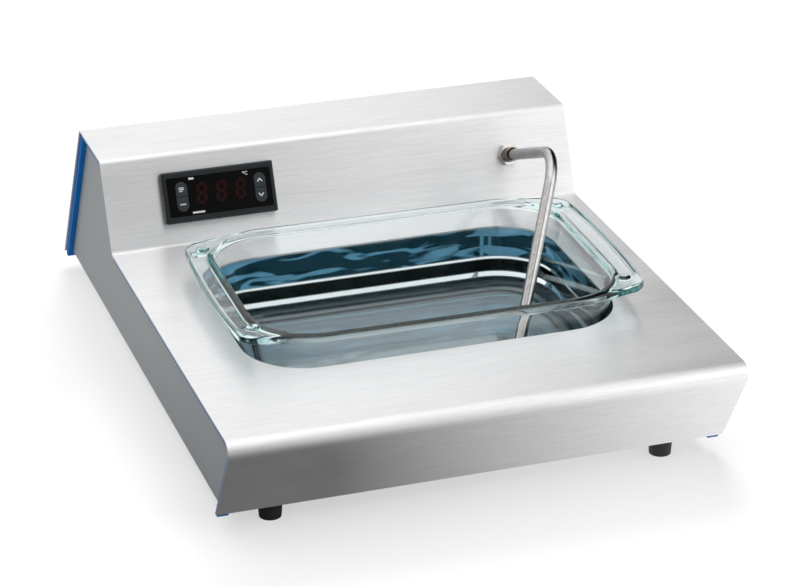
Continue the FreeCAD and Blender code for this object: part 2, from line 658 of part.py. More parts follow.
def make_side(name, sign):
    panel = new_body("side_panel_" + name)
    lift = "%s * places.panel_x" % sign
    plate = new_sketch(panel, "panel_outline_" + name, "YZ_Plane", lift=lift)
    corners = side_outline("places.panel_edge", "places.panel_foot")
    add_outline(plate, corners)
    pad(panel, plate, "sizes.panel_gauge", reverse=sign == "1")
    round_bends(panel, "places.panel_edge", corners, folds=(1, 3, 4))
    flange = new_sketch(panel, "panel_return_" + name, lift="places.panel_foot")
    outer = "%s * places.panel_x" % sign
    inner = "%s * (places.panel_x - sizes.panel_flange)" % sign
    add_rectangle(flange, outer, inner, "places.plate_front_y + sizes.panel_return_gap",
                  "places.plate_rear_y - sizes.panel_return_gap")
    for x, y in base_screw_spots(sign):
        add_circle(flange, x, y, "sizes.m3_radius + sizes.hole_clearance")
    pad(panel, flange, "sizes.panel_gauge")
    finish(panel)

    trim = new_body("edge_trim_" + name)
    foot = "(sizes.floor_gap - sizes.trim_tail)"
    outer_face = "%s * places.trim_outer_x" % sign
    outline = new_sketch(trim, "trim_outline_" + name, "YZ_Plane", lift=outer_face)
    corners = side_outline("places.sheet_seat", foot)
    add_outline(outline, corners)
    pad(trim, outline, "sizes.trim_width", reverse=sign == "1")
    round_bends(trim, "places.sheet_seat", corners)
    inside = new_sketch(trim, "trim_inside_" + name, "YZ_Plane", lift=outer_face)
    add_outline(inside, side_outline("(places.sheet_seat + sizes.trim_depth)", "(%s - 1)" % foot))
    pocket(trim, inside, "3 * sizes.trim_width", midplane=True)
    slot_face = "%s * (places.panel_x + sizes.seat_gap)" % sign
    slot = new_sketch(trim, "trim_slot_" + name, "YZ_Plane", lift=slot_face)
    add_outline(slot, side_outline("(places.panel_edge - sizes.seat_gap)", "(places.panel_foot - sizes.seat_gap)"))
    pocket(trim, slot, "sizes.panel_gauge + 2 * sizes.seat_gap", reverse=sign == "-1")
    finish(trim)


# Base plate with vents, feet and screws

def foot_spots():
    spots = {}
    for row, y in (("front", "places.foot_front_y"), ("rear", "places.foot_rear_y")):
        for side, sign in (("left", "-1"), ("right", "1")):
            spots["%s_%s" % (row, side)] = ("%s * places.foot_x" % sign, y)
    return spots


def make_base_plate():
    body = new_body("base_plate")
    outline = new_sketch(body, "plate_outline", lift="sizes.floor_gap")
    add_rectangle(outline, "-places.plate_side_x", "places.plate_side_x",
                  "places.plate_front_y", "places.plate_rear_y")
    pad(body, outline, "sizes.plate_gauge")
    holes = new_sketch(body, "plate_holes", lift="places.plate_top")
    for x, y in foot_spots().values():
        add_circle(holes, x, y, "sizes.m4_radius + sizes.hole_clearance")
    for x, y in base_screw_spots("-1") + base_screw_spots("1"):
        add_circle(holes, x, y, "sizes.m3_radius + sizes.hole_clearance")
    pocket(body, holes, "2 * sizes.plate_gauge")
    vent = new_sketch(body, "vent", lift="places.plate_top")
    middle_y = "places.console_y"
    add_rounded_rectangle(vent, "sizes.vent_length", "sizes.vent_width",
                          "sizes.vent_width / 2 - 0.01", up=middle_y)
    slot = pocket(body, vent, "2 * sizes.plate_gauge")
    row = body.newObject("PartDesign::LinearPattern", "vent_row")
    row.Originals = [slot]
    row.Direction = (vent, ["V_Axis"])
    bind(row, Length="sizes.vent_pitch * (sizes.vent_count - 1)", Occurrences="sizes.vent_count")
    body.Tip = row
    doc.recompute()
    finish(body)


def make_feet():
    for name, (x, y) in foot_spots().items():
        body = new_body("foot_" + name)
        section = new_sketch(body, "foot_section_" + name, "XZ_Plane")
        add_outline(section, [
            ("sizes.foot_recess_radius", "0"),
            ("sizes.foot_radius - sizes.foot_taper", "0"),
            ("sizes.foot_radius", "sizes.floor_gap - sizes.seat_gap"),
            ("sizes.foot_bore", "sizes.floor_gap - sizes.seat_gap"),
            ("sizes.foot_bore", "sizes.foot_recess_depth"),
            ("sizes.foot_recess_radius", "sizes.foot_recess_depth"),
        ])
        revolve(body, section)
        finish(body, placement=Placement(Vector(value(x), value(y), 0), Rotation()))


def screw(name, head_radius, head_height, shank_radius, shank_length):
    # A pan-head screw, its head's seat at the origin, shank upwards
    head = cylinder(name + "_head", head_radius, head_height, rise="-(%s)" % head_height)
    shank = cylinder(name + "_shank", shank_radius, shank_length)
    return fuse(name, head, shank)


def make_fasteners():
    foot_screw = screw("foot_screw", "sizes.m4_head_radius", "sizes.m4_head_height", "sizes.m4_radius",
                       "places.plate_top + sizes.m4_nut_height + 1 - sizes.foot_recess_depth")
    seat = value("sizes.foot_recess_depth - sizes.seat_gap")
    spots = [(value(x), value(y)) for x, y in foot_spots().values()]
    group("foot_screws", foot_screw, [Placement(Vector(x, y, seat), Rotation()) for x, y in spots])

    nut = new_body("foot_nut")
    hexagon = new_sketch(nut, "foot_nut_hexagon")
    add_hexagon(hexagon, "sizes.m4_nut_flats")
    add_circle(hexagon, "0", "0", "sizes.m4_radius + 0.05")
    pad(nut, hexagon, "sizes.m4_nut_height")
    seat = value("places.plate_top + sizes.seat_gap")
    group("foot_nuts", nut, [Placement(Vector(x, y, seat), Rotation()) for x, y in spots])

    base_screw = screw("base_screw", "sizes.m3_head_radius", "sizes.m3_head_height",
                       "sizes.m3_radius", "sizes.m3_length")
    seat = value("sizes.floor_gap - sizes.seat_gap")
    spots = base_screw_spots("-1") + base_screw_spots("1")
    group("base_screws", base_screw,
          [Placement(Vector(value(x), value(y), seat), Rotation()) for x, y in spots])

    inlet_screw = screw("inlet_screw", "sizes.m3_head_radius", "sizes.m3_head_height",
                        "sizes.m3_radius", "sizes.m3_length + sizes.inlet_flange")
    turned = Placement(Vector(), Rotation(X_AXIS, 180))
    spots = []
    for side in ("-", "+"):
        across = "places.inlet_x %s sizes.inlet_screws / 2" % side
        spot = rear_frame(across, "sizes.inlet_drop", "sizes.inlet_flange + 2 * sizes.seat_gap")
        spots.append(spot.multiply(turned))
    group("inlet_screws", inlet_screw, spots)


def add_hexagon(sketch, flats):
    corner = "(%s) / 2 / cos(30)" % flats
    corners = [("%s * cos(%d)" % (corner, angle), "%s * sin(%d)" % (corner, angle))
               for angle in range(0, 360, 60)]
    add_outline(sketch, corners)


# Well: a deep-drawn polished tray under the cut-out, with its heater

def make_well():
    body = new_body("well_tray")
    outline = new_sketch(body, "well_outline", lift="sizes.well_floor")
    add_rounded_rectangle(outline, "places.well_width", "places.well_depth",
                          "places.well_corner", up="places.cutout_y")
    pad(body, outline, "places.well_top - sizes.well_floor")
    dress(body, "Fillet", "well_foot", "sizes.well_radius", at_height(value("sizes.well_floor")))
    hollow(body, "well_sheet", "sizes.well_gauge", at_height(value("places.well_top")))
    rim = new_sketch(body, "well_rim", lift="places.well_top")
    add_rounded_rectangle(rim, "places.well_width + 2 * sizes.well_flange",
                          "places.well_depth + 2 * sizes.well_flange",
                          "places.well_corner + sizes.well_flange", up="places.cutout_y")
    add_rounded_rectangle(rim, "places.well_width - 2 * sizes.well_gauge",
                          "places.well_depth - 2 * sizes.well_gauge",
                          "places.well_corner - sizes.well_gauge", up="places.cutout_y")
    pad(body, rim, "sizes.well_gauge", reverse=True)
    finish(body)

    mat = new_body("heater_mat")
    sheet = new_sketch(mat, "mat_outline", lift="places.mat_top")
    add_rounded_rectangle(sheet, "sizes.mat_width", "sizes.mat_depth", "sizes.mat_corner",
                          up="places.cutout_y")
    pad(mat, sheet, "sizes.mat_thickness", reverse=True)
    finish(mat)

    pad_body = new_body("insulation_pad")
    block = new_sketch(pad_body, "pad_outline", lift="places.pad_top")
    add_rounded_rectangle(block, "sizes.mat_width + 2 * sizes.pad_margin",
                          "sizes.mat_depth + 2 * sizes.pad_margin",
                          "sizes.mat_corner", up="places.cutout_y")
    pad(pad_body, block, "places.pad_top - places.plate_top - sizes.seat_gap", reverse=True)
    finish(pad_body)

    can = cylinder("cutout_can", "sizes.cutout_switch_radius", "sizes.cutout_switch_height",
                   rise="-sizes.cutout_switch_height")
    ears = box("cutout_ears", "sizes.cutout_ear_length", "sizes.cutout_ear_width",
               "sizes.cutout_ear_gauge", rise="-sizes.cutout_ear_gauge")
    drop = "sizes.cutout_switch_height + sizes.cutout_tab_length"
    tabs = box("cutout_tabs", "sizes.cutout_tab_width", "sizes.cutout_tab_gauge", drop, rise="-(%s)" % drop)
    beside = "sizes.mat_width / 2 + sizes.pad_margin + 1.8 * sizes.cutout_switch_radius"
    where = Vector(value(beside), value("places.cutout_y"), value("places.mat_top"))
    spot = Placement(where, Rotation(Z_AXIS, 90))
    finish(fuse("thermal_cutout", can, ears, tabs), placement=spot)


# Glass dish: moulded in one piece, with a handle at each end

def tapered(body, kind, name, sketch, depth):
    # A pad or pocket downwards from the sketch that narrows by the draft angle
    feature = body.newObject("PartDesign::" + kind, name)
    feature.Profile = sketch
    feature.Reversed = kind == "Pad"
    feature.setExpression("Length", depth)
    feature.setExpression("TaperAngle", "-sizes.dish_draft")
    doc.recompute()
    return feature


def add_handle_outline(sketch, reach, corner_reach, half_width, chamfer, shoulder, side):
    # Two bowed ends, bevelled corners and long sides, run round counterclockwise
    low = "(%s - %s)" % (half_width, chamfer)
    inner = "(%s - %s)" % (corner_reach, chamfer)
    half_chord = "(%s)" % low
    bow = "(%s - %s)" % (reach, corner_reach)
    radius = "(%s * %s + %s * %s) / (2 * %s)" % (half_chord, half_chord, bow, bow, bow)
    add_outline(sketch, [
        (corner_reach, "-" + low, (reach, "0", radius)), (corner_reach, low),
        (inner, half_width), (shoulder, side), ("-" + shoulder, side), ("-" + inner, half_width),
        ("-" + corner_reach, low, ("-" + reach, "0", radius)), ("-" + corner_reach, "-" + low),
        ("-" + inner, "-" + half_width), ("-" + shoulder, "-" + side), (shoulder, "-" + side),
        (inner, "-" + half_width)])


def make_dish():
    body = new_body("glass_dish")
    neck = new_sketch(body, "dish_neck", lift="sizes.dish_height - sizes.dish_rim / 2")
    narrowing = "2 * sizes.dish_wall - sizes.dish_rim * tan(sizes.dish_draft)"
    add_rounded_rectangle(neck, "places.dish_length + " + narrowing, "places.dish_breadth + " + narrowing,
                          "sizes.dish_corner + (%s) / 2" % narrowing)
    tapered(body, "Pad", "dish_outside", neck, "sizes.dish_height - sizes.dish_rim / 2")
    dress(body, "Fillet", "dish_foot_round", "sizes.dish_foot_radius", at_height(0))

    rim = new_sketch(body, "dish_rim_outline", lift="sizes.dish_height")
    add_handle_outline(rim, "places.handle_reach", "places.handle_corner_reach", "places.handle_half_width",
                       "sizes.handle_bevel", "places.handle_shoulder", "places.rim_side")
    pad(body, rim, "sizes.dish_rim", reverse=True)
    top = value("sizes.dish_height")
    rim_low = value("sizes.dish_height - sizes.dish_rim")
    shoulder_x = value("places.handle_shoulder")

    def upright(edge):
        bounds = edge.BoundBox
        return bounds.XLength < 0.01 and bounds.YLength < 0.01 and bounds.ZMin > rim_low - 0.01

    def at_shoulder(edge):
        return upright(edge) and abs(abs(edge.BoundBox.XMin) - shoulder_x) < 0.01

    def at_corner(edge):
        return upright(edge) and abs(edge.BoundBox.XMin) > shoulder_x + 1

    dress(body, "Fillet", "dish_shoulders", "sizes.handle_sweep", at_shoulder)
    dress(body, "Fillet", "dish_corners", "sizes.handle_corner", at_corner)
    dress(body, "Fillet", "dish_rim_top", "sizes.dish_rim_round", at_height(top))

    def at_rim_foot(edge):
        return at_height(rim_low)(edge) and beyond_wall(middle(edge))

    def beyond_wall(point):
        wall = value("sizes.dish_wall - sizes.dish_rim * tan(sizes.dish_draft)") + 0.3
        return (abs(point.x) > value("places.dish_length") / 2 + wall
                or abs(point.y) > value("places.dish_breadth") / 2 + wall)

    dress(body, "Fillet", "dish_rim_foot", "sizes.dish_under_round", at_rim_foot)

    mouth = new_sketch(body, "dish_mouth", lift="sizes.dish_height")
    add_rounded_rectangle(mouth, "places.dish_length", "places.dish_breadth", "sizes.dish_corner")
    tapered(body, "Pocket", "dish_inside", mouth, "sizes.dish_height - sizes.dish_floor")
    dress(body, "Fillet", "dish_floor_round", "sizes.dish_foot_radius - 2",
          at_height(value("sizes.dish_floor")))
    inside_y = value("places.dish_breadth") / 2 + 0.01
    inside_x = value("places.dish_length") / 2 + 0.01

    def at_mouth(edge):
        point = middle(edge)
        return at_height(top)(edge) and abs(point.x) < inside_x and abs(point.y) < inside_y

    dress(body, "Fillet", "dish_mouth_round", "sizes.dish_mouth_round", at_mouth)

    half = "(places.knob_side - 2 * sizes.knob_radius)"
    inner = "(places.dish_length / 2 + sizes.handle_ridge)"
    far = "(places.handle_reach - sizes.handle_bead)"
    chord = "(places.handle_half_width - sizes.handle_bevel)"
    bow = "((places.handle_reach - places.handle_corner_reach) * %s * %s / (%s * %s))" % (half, half, chord, chord)
    near = "(%s - %s)" % (far, bow)
    radius = "(%s * %s + %s * %s) / (2 * %s)" % (half, half, bow, bow, bow)
    for name, side_sign, first in (("left", "-", ""), ("right", "", "-")):
        dip = new_sketch(body, "handle_dip_" + name, lift="sizes.dish_height")
        last = "" if first else "-"
        add_outline(dip, [
            (side_sign + inner, first + half), (side_sign + near, first + half, (side_sign + far, "0", radius)),
            (side_sign + near, last + half), (side_sign + inner, last + half)])
        pocket(body, dip, "sizes.handle_dip")

    knobs = new_sketch(body, "dish_knobs", lift="sizes.dish_height")
    for across in ("-", ""):
        for up in ("-", ""):
            add_circle(knobs, across + "places.knob_reach", up + "places.knob_side", "sizes.knob_radius")
    pad(body, knobs, "sizes.knob_height")
    dress(body, "Fillet", "knob_rounds", "sizes.knob_round", at_height(value("sizes.dish_height + sizes.knob_height")))

    spot = Vector(value("sizes.dish_shift"), value("places.cutout_y - sizes.dish_forward"),
                  value("places.dish_base"))
    finish(body, placement=Placement(spot, Rotation(Z_AXIS, value("sizes.dish_turn"))))


# Probe: a bent tube through a gland in the console

def make_probe():
    lean = math.radians(value("places.probe_lean"))
    first = Vector(0, -math.cos(lean), math.sin(lean))
    down = Vector(0, -math.sin(lean), -math.cos(lean))
    swing = math.radians(value("sizes.probe_swing_angle"))
    sideways = down * math.cos(swing) - X_AXIS * math.sin(swing)
    base = console_frame("places.probe_x", "sizes.probe_rise").Base
    frame = Placement(base, Rotation(first, sideways, first.cross(sideways), "ZXY"))

    body = new_body("probe_tube")
    for kind, radius, short in (("Additive", "sizes.probe_radius", "0"),
                                ("Subtractive", "sizes.probe_bore", "sizes.probe_tip")):
        route = new_sketch(body, kind.lower() + "_route")
        add_probe_route(route, short)
        ring = new_sketch(body, kind.lower() + "_ring", "YZ_Plane", lift="-sizes.probe_tail")
        add_circle(ring, "0", "0", radius)
        pipe = body.newObject("PartDesign::%sPipe" % kind, kind.lower() + "_pipe")
        pipe.Profile = ring
        pipe.Spine = (route, ["Edge1", "Edge2", "Edge3"])
        doc.recompute()
    finish(body, placement=frame)

    turn = math.radians(value("sizes.probe_turn"))
    leg = Vector(math.cos(turn), math.sin(turn), 0)
    start = Vector(value("sizes.probe_reach"), 0, 0)
    start += leg * value("places.probe_leg - sizes.probe_tip - sizes.seat_gap - sizes.sensor_length")
    sensor = cylinder("temperature_sensor", "sizes.sensor_radius", "sizes.sensor_length")
    spot = Placement(start, Rotation(Z_AXIS, leg))
    finish(sensor, placement=frame.multiply(spot))

    nut = new_body("probe_nut")
    hexagon = new_sketch(nut, "probe_nut_hexagon", lift="sizes.seat_gap")
    add_hexagon(hexagon, "sizes.nut_flats")
    add_circle(hexagon, "0", "0", "sizes.gland_radius + 0.05")
    pad(nut, hexagon, "sizes.nut_height")
    finish(nut, placement=console_frame("places.probe_x", "sizes.probe_rise"))

    gland = cut("probe_gland",
                cylinder("gland_thread", "sizes.gland_radius", "sizes.gland_length",
                         rise="sizes.nut_height - sizes.gland_length"),
                cylinder("gland_bore", "sizes.probe_radius + sizes.probe_play", "2 * sizes.gland_length",
                         rise="-sizes.gland_length"))
    finish(gland, placement=console_frame("places.probe_x", "sizes.probe_rise"))

    ferrule = cut("probe_ferrule",
                  cylinder("ferrule_ring", "sizes.ferrule_radius", "sizes.ferrule_length"),
                  cylinder("ferrule_bore", "sizes.probe_radius + sizes.probe_play", "2 * sizes.ferrule_length",
                           rise="-sizes.ferrule_length / 2"))
    out = "sizes.nut_height + 2 * sizes.seat_gap"
    finish(ferrule, placement=console_frame("places.probe_x", "sizes.probe_rise", out))

    locknut = new_body("probe_locknut")
    hexagon = new_sketch(locknut, "locknut_hexagon")
    add_hexagon(hexagon, "sizes.nut_flats + 1")
    add_circle(hexagon, "0", "0", "sizes.gland_radius + 0.05")
    pad(locknut, hexagon, "3", reverse=True)
    finish(locknut, placement=console_frame("places.probe_x", "sizes.probe_rise", "-places.sheet_seat"))


def add_probe_route(sketch, short):
    # A straight leg, a tangent bend and a second straight leg
    bend = value("sizes.probe_bend")
    turn = math.radians(value("sizes.probe_turn"))
    setback = bend * math.tan(turn / 2)
    corner = Vector(value("sizes.probe_reach"), 0, 0)
    leg = Vector(math.cos(turn), math.sin(turn), 0)
    start = Vector(-value("sizes.probe_tail"), 0, 0)
    bend_start = corner - X_AXIS * setback
    bend_end = corner + leg * setback
    end = corner + leg * value("places.probe_leg - %s" % short)
    centre = bend_start + Vector(0, bend, 0)
    sketch.addGeometry(Part.LineSegment(start, bend_start))
    circle = Part.Circle(centre, Z_AXIS, bend)
    sketch.addGeometry(Part.ArcOfCircle(circle, -math.pi / 2, -math.pi / 2 + turn))
    sketch.addGeometry(Part.LineSegment(bend_end, end))
    sketch.addConstraint(Sketcher.Constraint("Tangent", 0, 2, 1, 1))
    sketch.addConstraint(Sketcher.Constraint("Tangent", 1, 2, 2, 1))
    hold_point(sketch, 0, 1, "-sizes.probe_tail", "0")
    hold_size(sketch, "Radius", 1, "sizes.probe_bend")
    end_x = "sizes.probe_reach + (places.probe_leg - %s) * cos(sizes.probe_turn)" % short
    end_y = "(places.probe_leg - %s) * sin(sizes.probe_turn)" % short
    hold_point(sketch, 2, 2, end_x, end_y)
    sketch.addConstraint(Sketcher.Constraint("Horizontal", 0))


# Controller: a bezel on the console, a case behind it, four keys in its window

def controller_frame(across="0", rise="0", out="0"):
    return console_frame("places.controller_x + (%s)" % across, "sizes.controller_rise + (%s)" % rise, out)


def key_places():
    left = "sizes.key_shift - sizes.key_offset"
    right = "sizes.key_shift + sizes.key_offset"
    return {"key_set": (left, 0), "key_menu": (left, 180), "key_up": (right, 0), "key_down": (right, 180)}


def add_key_holes(sketch):
    # One capsule-shaped hole takes an upper and a lower key
    width = "sizes.key_width + 2 * sizes.key_gap"
    length = "2 * sizes.key_length + 2 * sizes.key_gap"
    for across in ("sizes.key_shift - sizes.key_offset", "sizes.key_shift + sizes.key_offset"):
        add_rounded_rectangle(sketch, width, length, "(%s) / 2 - 0.02" % width, across=across)


def make_controller():
    bezel = new_body("controller_bezel")
    outline = new_sketch(bezel, "bezel_outline", lift="sizes.seat_gap")
    add_rounded_rectangle(outline, "sizes.controller_width", "sizes.controller_height", "sizes.bezel_corner")
    pad(bezel, outline, "sizes.controller_proud")
    front = value("sizes.controller_proud + sizes.seat_gap")
    dress(bezel, "Chamfer", "bezel_bevel", "sizes.bezel_bevel", at_height(front))
    seat = new_sketch(bezel, "window_seat", lift="sizes.controller_proud + sizes.seat_gap")
    add_rounded_rectangle(seat, "places.window_width + 2 * sizes.seat_gap",
                          "places.window_height + 2 * sizes.seat_gap", "1")
    pocket(bezel, seat, "sizes.window_sink + sizes.window_thickness + 2 * sizes.seat_gap")
    through = new_sketch(bezel, "bezel_opening", lift="sizes.controller_proud + sizes.seat_gap")
    add_rounded_rectangle(through, "places.window_width - 2 * sizes.window_ledge",
                          "places.window_height - 2 * sizes.window_ledge", "1")
    pocket(bezel, through, "2 * sizes.controller_proud")
    finish(bezel, placement=controller_frame())

    window = new_body("controller_window")
    lens = new_sketch(window, "window_outline", lift="places.window_face")
    add_rounded_rectangle(lens, "places.window_width", "places.window_height", "0.9")
    pad(window, lens, "sizes.window_thickness", reverse=True)
    holes = new_sketch(window, "key_holes", lift="places.window_face")
    add_key_holes(holes)
    pocket(window, holes, "2 * sizes.window_thickness")
    finish(window, placement=controller_frame())

    for name, (across, turn) in key_places().items():
        key = new_body(name)
        cap = new_sketch(key, name + "_cap", lift="places.key_face")
        add_key_outline(cap)
        pad(key, cap, "sizes.key_proud + sizes.window_thickness", reverse=True)
        dress(key, "Fillet", name + "_edge", "0.3", at_height(value("places.key_face")))
        stem = new_sketch(key, name + "_stem", lift="places.key_face - sizes.key_proud")
        add_circle(stem, "0", "sizes.key_length / 2", "sizes.key_stem")
        depth = "places.window_face + sizes.board_sink - sizes.key_travel - 1.3"
        pad(key, stem, depth, reverse=True)
        spin = Placement(Vector(), Rotation(Z_AXIS, turn))
        finish(key, placement=controller_frame(across).multiply(spin))

    case = new_body("controller_case")
    tube = new_sketch(case, "case_outline")
    add_rounded_rectangle(tube, "sizes.case_width", "sizes.case_height", "sizes.case_wall + 1")
    pad(case, tube, "sizes.case_depth", reverse=True)
    hollow(case, "case_wall", "sizes.case_wall", at_height(0))
    finish(case, placement=controller_frame())

    board = new_body("display_board")
    sheet = new_sketch(board, "board_outline", lift="-sizes.board_sink")
    add_rounded_rectangle(sheet, "sizes.case_width - 2 * sizes.case_wall - 2 * sizes.seat_gap",
                          "sizes.case_height - 2 * sizes.case_wall - 2 * sizes.seat_gap", "1")
    pad(board, sheet, "sizes.board_thickness", reverse=True)
    digits = new_sketch(board, "digit_block", lift="-sizes.board_sink")
    add_rounded_rectangle(digits, "sizes.digit_block_width", "sizes.digit_block_height", "0.5",
                          across="sizes.key_shift")
    pad(board, digits, "places.window_face - sizes.window_thickness + sizes.board_sink - 0.5")
    buttons = new_sketch(board, "button_domes", lift="-sizes.board_sink")
    for across, turn in key_places().values():
        rise = "sizes.key_length / 2" if turn == 0 else "-sizes.key_length / 2"
        add_circle(buttons, across, rise, "sizes.button_radius")
    pad(board, buttons, "sizes.button_height")
    finish(board, placement=controller_frame())

    clip = box("clip_master", "sizes.clip_width", "sizes.clip_height", "sizes.clip_length")
    doc.recompute()
    reach = "(sizes.case_width / 2 + sizes.clip_width / 2 + sizes.seat_gap)"
    spots = []
    for sign in ("-", ""):
        lower = "-places.sheet_seat - sizes.clip_length"
        spot = controller_frame("%s%s - sizes.clip_width / 2" % (sign, reach),
                                "-sizes.clip_height / 2", lower)
        spots.append(spot)
    group("controller_clips", clip, spots)

    strip_width = "sizes.case_width - 2 * sizes.terminal_inset"
    strip = box("controller_terminals", strip_width, "sizes.terminal_height", "sizes.terminal_depth")
    doc.recompute()
    corner = Vector(-value(strip_width) / 2, -value("sizes.terminal_height") / 2, 0)
    local = Placement(corner, Rotation())
    out = "-sizes.case_depth - sizes.seat_gap - sizes.terminal_depth"
    finish(strip, placement=controller_frame(out=out).multiply(local))


def add_key_outline(sketch):
    # A flat end at the split and a round end away from it
    half = value("sizes.key_width") / 2
    low = value("sizes.key_gap") / 2
    high = value("sizes.key_length") - half
    left_low, right_low = Vector(-half, low, 0), Vector(half, low, 0)
    left_high, right_high = Vector(-half, high, 0), Vector(half, high, 0)
    sketch.addGeometry(Part.LineSegment(left_low, right_low))
    sketch.addGeometry(Part.LineSegment(right_low, right_high))
    circle = Part.Circle(Vector(0, high, 0), Z_AXIS, half)
    sketch.addGeometry(Part.ArcOfCircle(circle, 0, math.pi))
    sketch.addGeometry(Part.LineSegment(left_high, left_low))
    sketch.addConstraint(Sketcher.Constraint("Coincident", 0, 2, 1, 1))
    sketch.addConstraint(Sketcher.Constraint("Coincident", 1, 2, 2, 1))
    sketch.addConstraint(Sketcher.Constraint("Coincident", 2, 2, 3, 1))
    sketch.addConstraint(Sketcher.Constraint("Coincident", 3, 2, 0, 1))
    hold_point(sketch, 0, 1, "-sizes.key_width / 2", "sizes.key_gap / 2")
    hold_point(sketch, 1, 1, "sizes.key_width / 2", "sizes.key_gap / 2")
    hold_point(sketch, 2, 3, "0", "sizes.key_length - sizes.key_width / 2")
    hold_point(sketch, 2, 1, "sizes.key_width / 2", "sizes.key_length - sizes.key_width / 2")
    sketch.addConstraint(Sketcher.Constraint("Horizontal", 2, 1, 2, 2))


# Rear wall: mains inlet and rocker switch

def make_inlet():
    body = new_body("mains_inlet")
    flange = new_sketch(body, "inlet_flange", lift="sizes.seat_gap")
    half = "sizes.inlet_flange_width / 2"
    block = "(sizes.inlet_width / 2 + 2)"
    height = "(sizes.inlet_height / 2 + 1.5)"
    corners = [(half, "4"), (block, height), ("-" + block, height), ("-" + half, "4"),
               ("-" + half, "-4"), ("-" + block, "-" + height), (block, "-" + height), (half, "-4")]
    add_outline(flange, corners)
    for side in ("-", ""):
        add_circle(flange, side + "sizes.inlet_screws / 2", "0", "sizes.m3_radius + sizes.hole_clearance")
    pad(body, flange, "sizes.inlet_flange")
    inside = new_sketch(body, "inlet_block", lift="sizes.seat_gap")
    add_rounded_rectangle(inside, "sizes.inlet_width", "sizes.inlet_height", "2")
    pad(body, inside, "sizes.inlet_depth", reverse=True)
    socket = new_sketch(body, "inlet_socket", lift="sizes.inlet_flange + sizes.seat_gap")
    add_rounded_rectangle(socket, "sizes.inlet_width - 2 * sizes.inlet_wall",
                          "sizes.inlet_height - 2 * sizes.inlet_wall", "3")
    pocket(body, socket, "sizes.inlet_socket")
    finish(body, placement=rear_frame("places.inlet_x", "sizes.inlet_drop"))


def make_rocker():
    frame = new_body("switch_body")
    rim = new_sketch(frame, "switch_rim", lift="sizes.seat_gap")
    add_rounded_rectangle(rim, "sizes.rocker_width + 2 * sizes.rocker_frame",
                          "sizes.rocker_height + 2 * sizes.rocker_frame", "1")
    pad(frame, rim, "sizes.rocker_frame_proud")
    block = new_sketch(frame, "switch_block", lift="sizes.seat_gap")
    add_rounded_rectangle(block, "sizes.rocker_width", "sizes.rocker_height", "0.6")
    pad(frame, block, "sizes.rocker_depth", reverse=True)
    well = new_sketch(frame, "switch_opening", lift="sizes.rocker_frame_proud + sizes.seat_gap")
    add_rounded_rectangle(well, "sizes.rocker_width - 2", "sizes.rocker_height - 2", "0.5")
    pocket(frame, well, "sizes.rocker_depth - 2")
    pin_hole = new_sketch(frame, "switch_pin_hole", "YZ_Plane")
    add_circle(pin_hole, "0", "sizes.rocker_frame_proud - sizes.rocker_pivot",
               "sizes.rocker_pin + sizes.pin_clearance")
    pocket(frame, pin_hole, "2 * sizes.rocker_width", midplane=True)
    finish(frame, placement=rear_frame("places.rocker_x", "sizes.inlet_drop"))

    key = new_body("switch_rocker")
    section = new_sketch(key, "rocker_section", "YZ_Plane")
    # The section is drawn about the pin: two faces that meet at a shallow angle, round below
    face = "sizes.rocker_pivot"
    half = ("((sizes.rocker_height / 2 - 1 - sizes.panel_clearance - %s * sin(sizes.rocker_tilt_angle))"
            " * cos(sizes.rocker_tilt_angle))" % face)
    corners = [("-%s" % half, "%s + %s * tan(sizes.rocker_tilt_angle)" % (face, half)), ("0", face),
               (half, "%s + %s * tan(sizes.rocker_tilt_angle)" % (face, half)),
               ("%s - 1.5" % half, "0"), ("3", "-3"), ("-3", "-3"), ("-(%s - 1.5)" % half, "0")]
    add_outline(section, corners)
    pad(key, section, "sizes.rocker_width - 2 - 2 * sizes.panel_clearance", midplane=True)
    pin = new_sketch(key, "rocker_pin", "YZ_Plane")
    add_circle(pin, "0", "0", "sizes.rocker_pin")
    pad(key, pin, "sizes.rocker_width - 1.2", midplane=True)
    out = "sizes.rocker_frame_proud - sizes.rocker_pivot"
    tilt = Placement(Vector(), Rotation(X_AXIS, value("sizes.rocker_tilt_angle")))
    finish(key, placement=rear_frame("places.rocker_x", "sizes.inlet_drop", out).multiply(tilt))


# Electrical pieces on the base plate

def make_electrics():
    seat = "places.plate_top + sizes.seat_gap"
    inside_y = "places.console_y + sizes.roof_depth"
    relay = box("relay", "sizes.relay_width", "sizes.relay_length", "sizes.relay_height",
                across="-sizes.controller_width", depth=inside_y, rise=seat)
    finish(relay)
    block = box("terminal_block", "sizes.block_length", "sizes.block_width", "sizes.block_height",
                depth=inside_y, rise=seat)
    finish(block)
    bolt = cylinder("earth_bolt", "sizes.stud_radius", "sizes.stud_height",
                    across="sizes.controller_width", depth=inside_y, rise=seat)
    nut = cylinder("earth_washer", "2 * sizes.stud_radius", "2.5",
                   across="sizes.controller_width", depth=inside_y, rise=seat)
    finish(fuse("earth_stud", bolt, nut))


make_housing_shell()
make_side("left", "-1")
make_side("right", "1")
make_base_plate()
make_feet()
make_fasteners()
make_well()
make_dish()
make_probe()
make_controller()
make_inlet()
make_rocker()
make_electrics()
doc.recompute()

for item in doc.Objects:
    if "Invalid" in item.State or "Error" in item.State:
        raise ValueError("%s is %s" % (item.Name, item.State))
for label, item in nodes.items():
    if item.Shape.isNull() or not item.Shape.isValid():
        raise ValueError(label + " has no valid shape")
for label, item in nodes.items():
    item.Shape.exportStep("parts/%s.step" % label)
    print(label, len(item.Shape.Solids), round(item.Shape.Volume))
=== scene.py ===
import math

import bmesh
import bpy
import numpy as np
from mathutils import Matrix, Vector


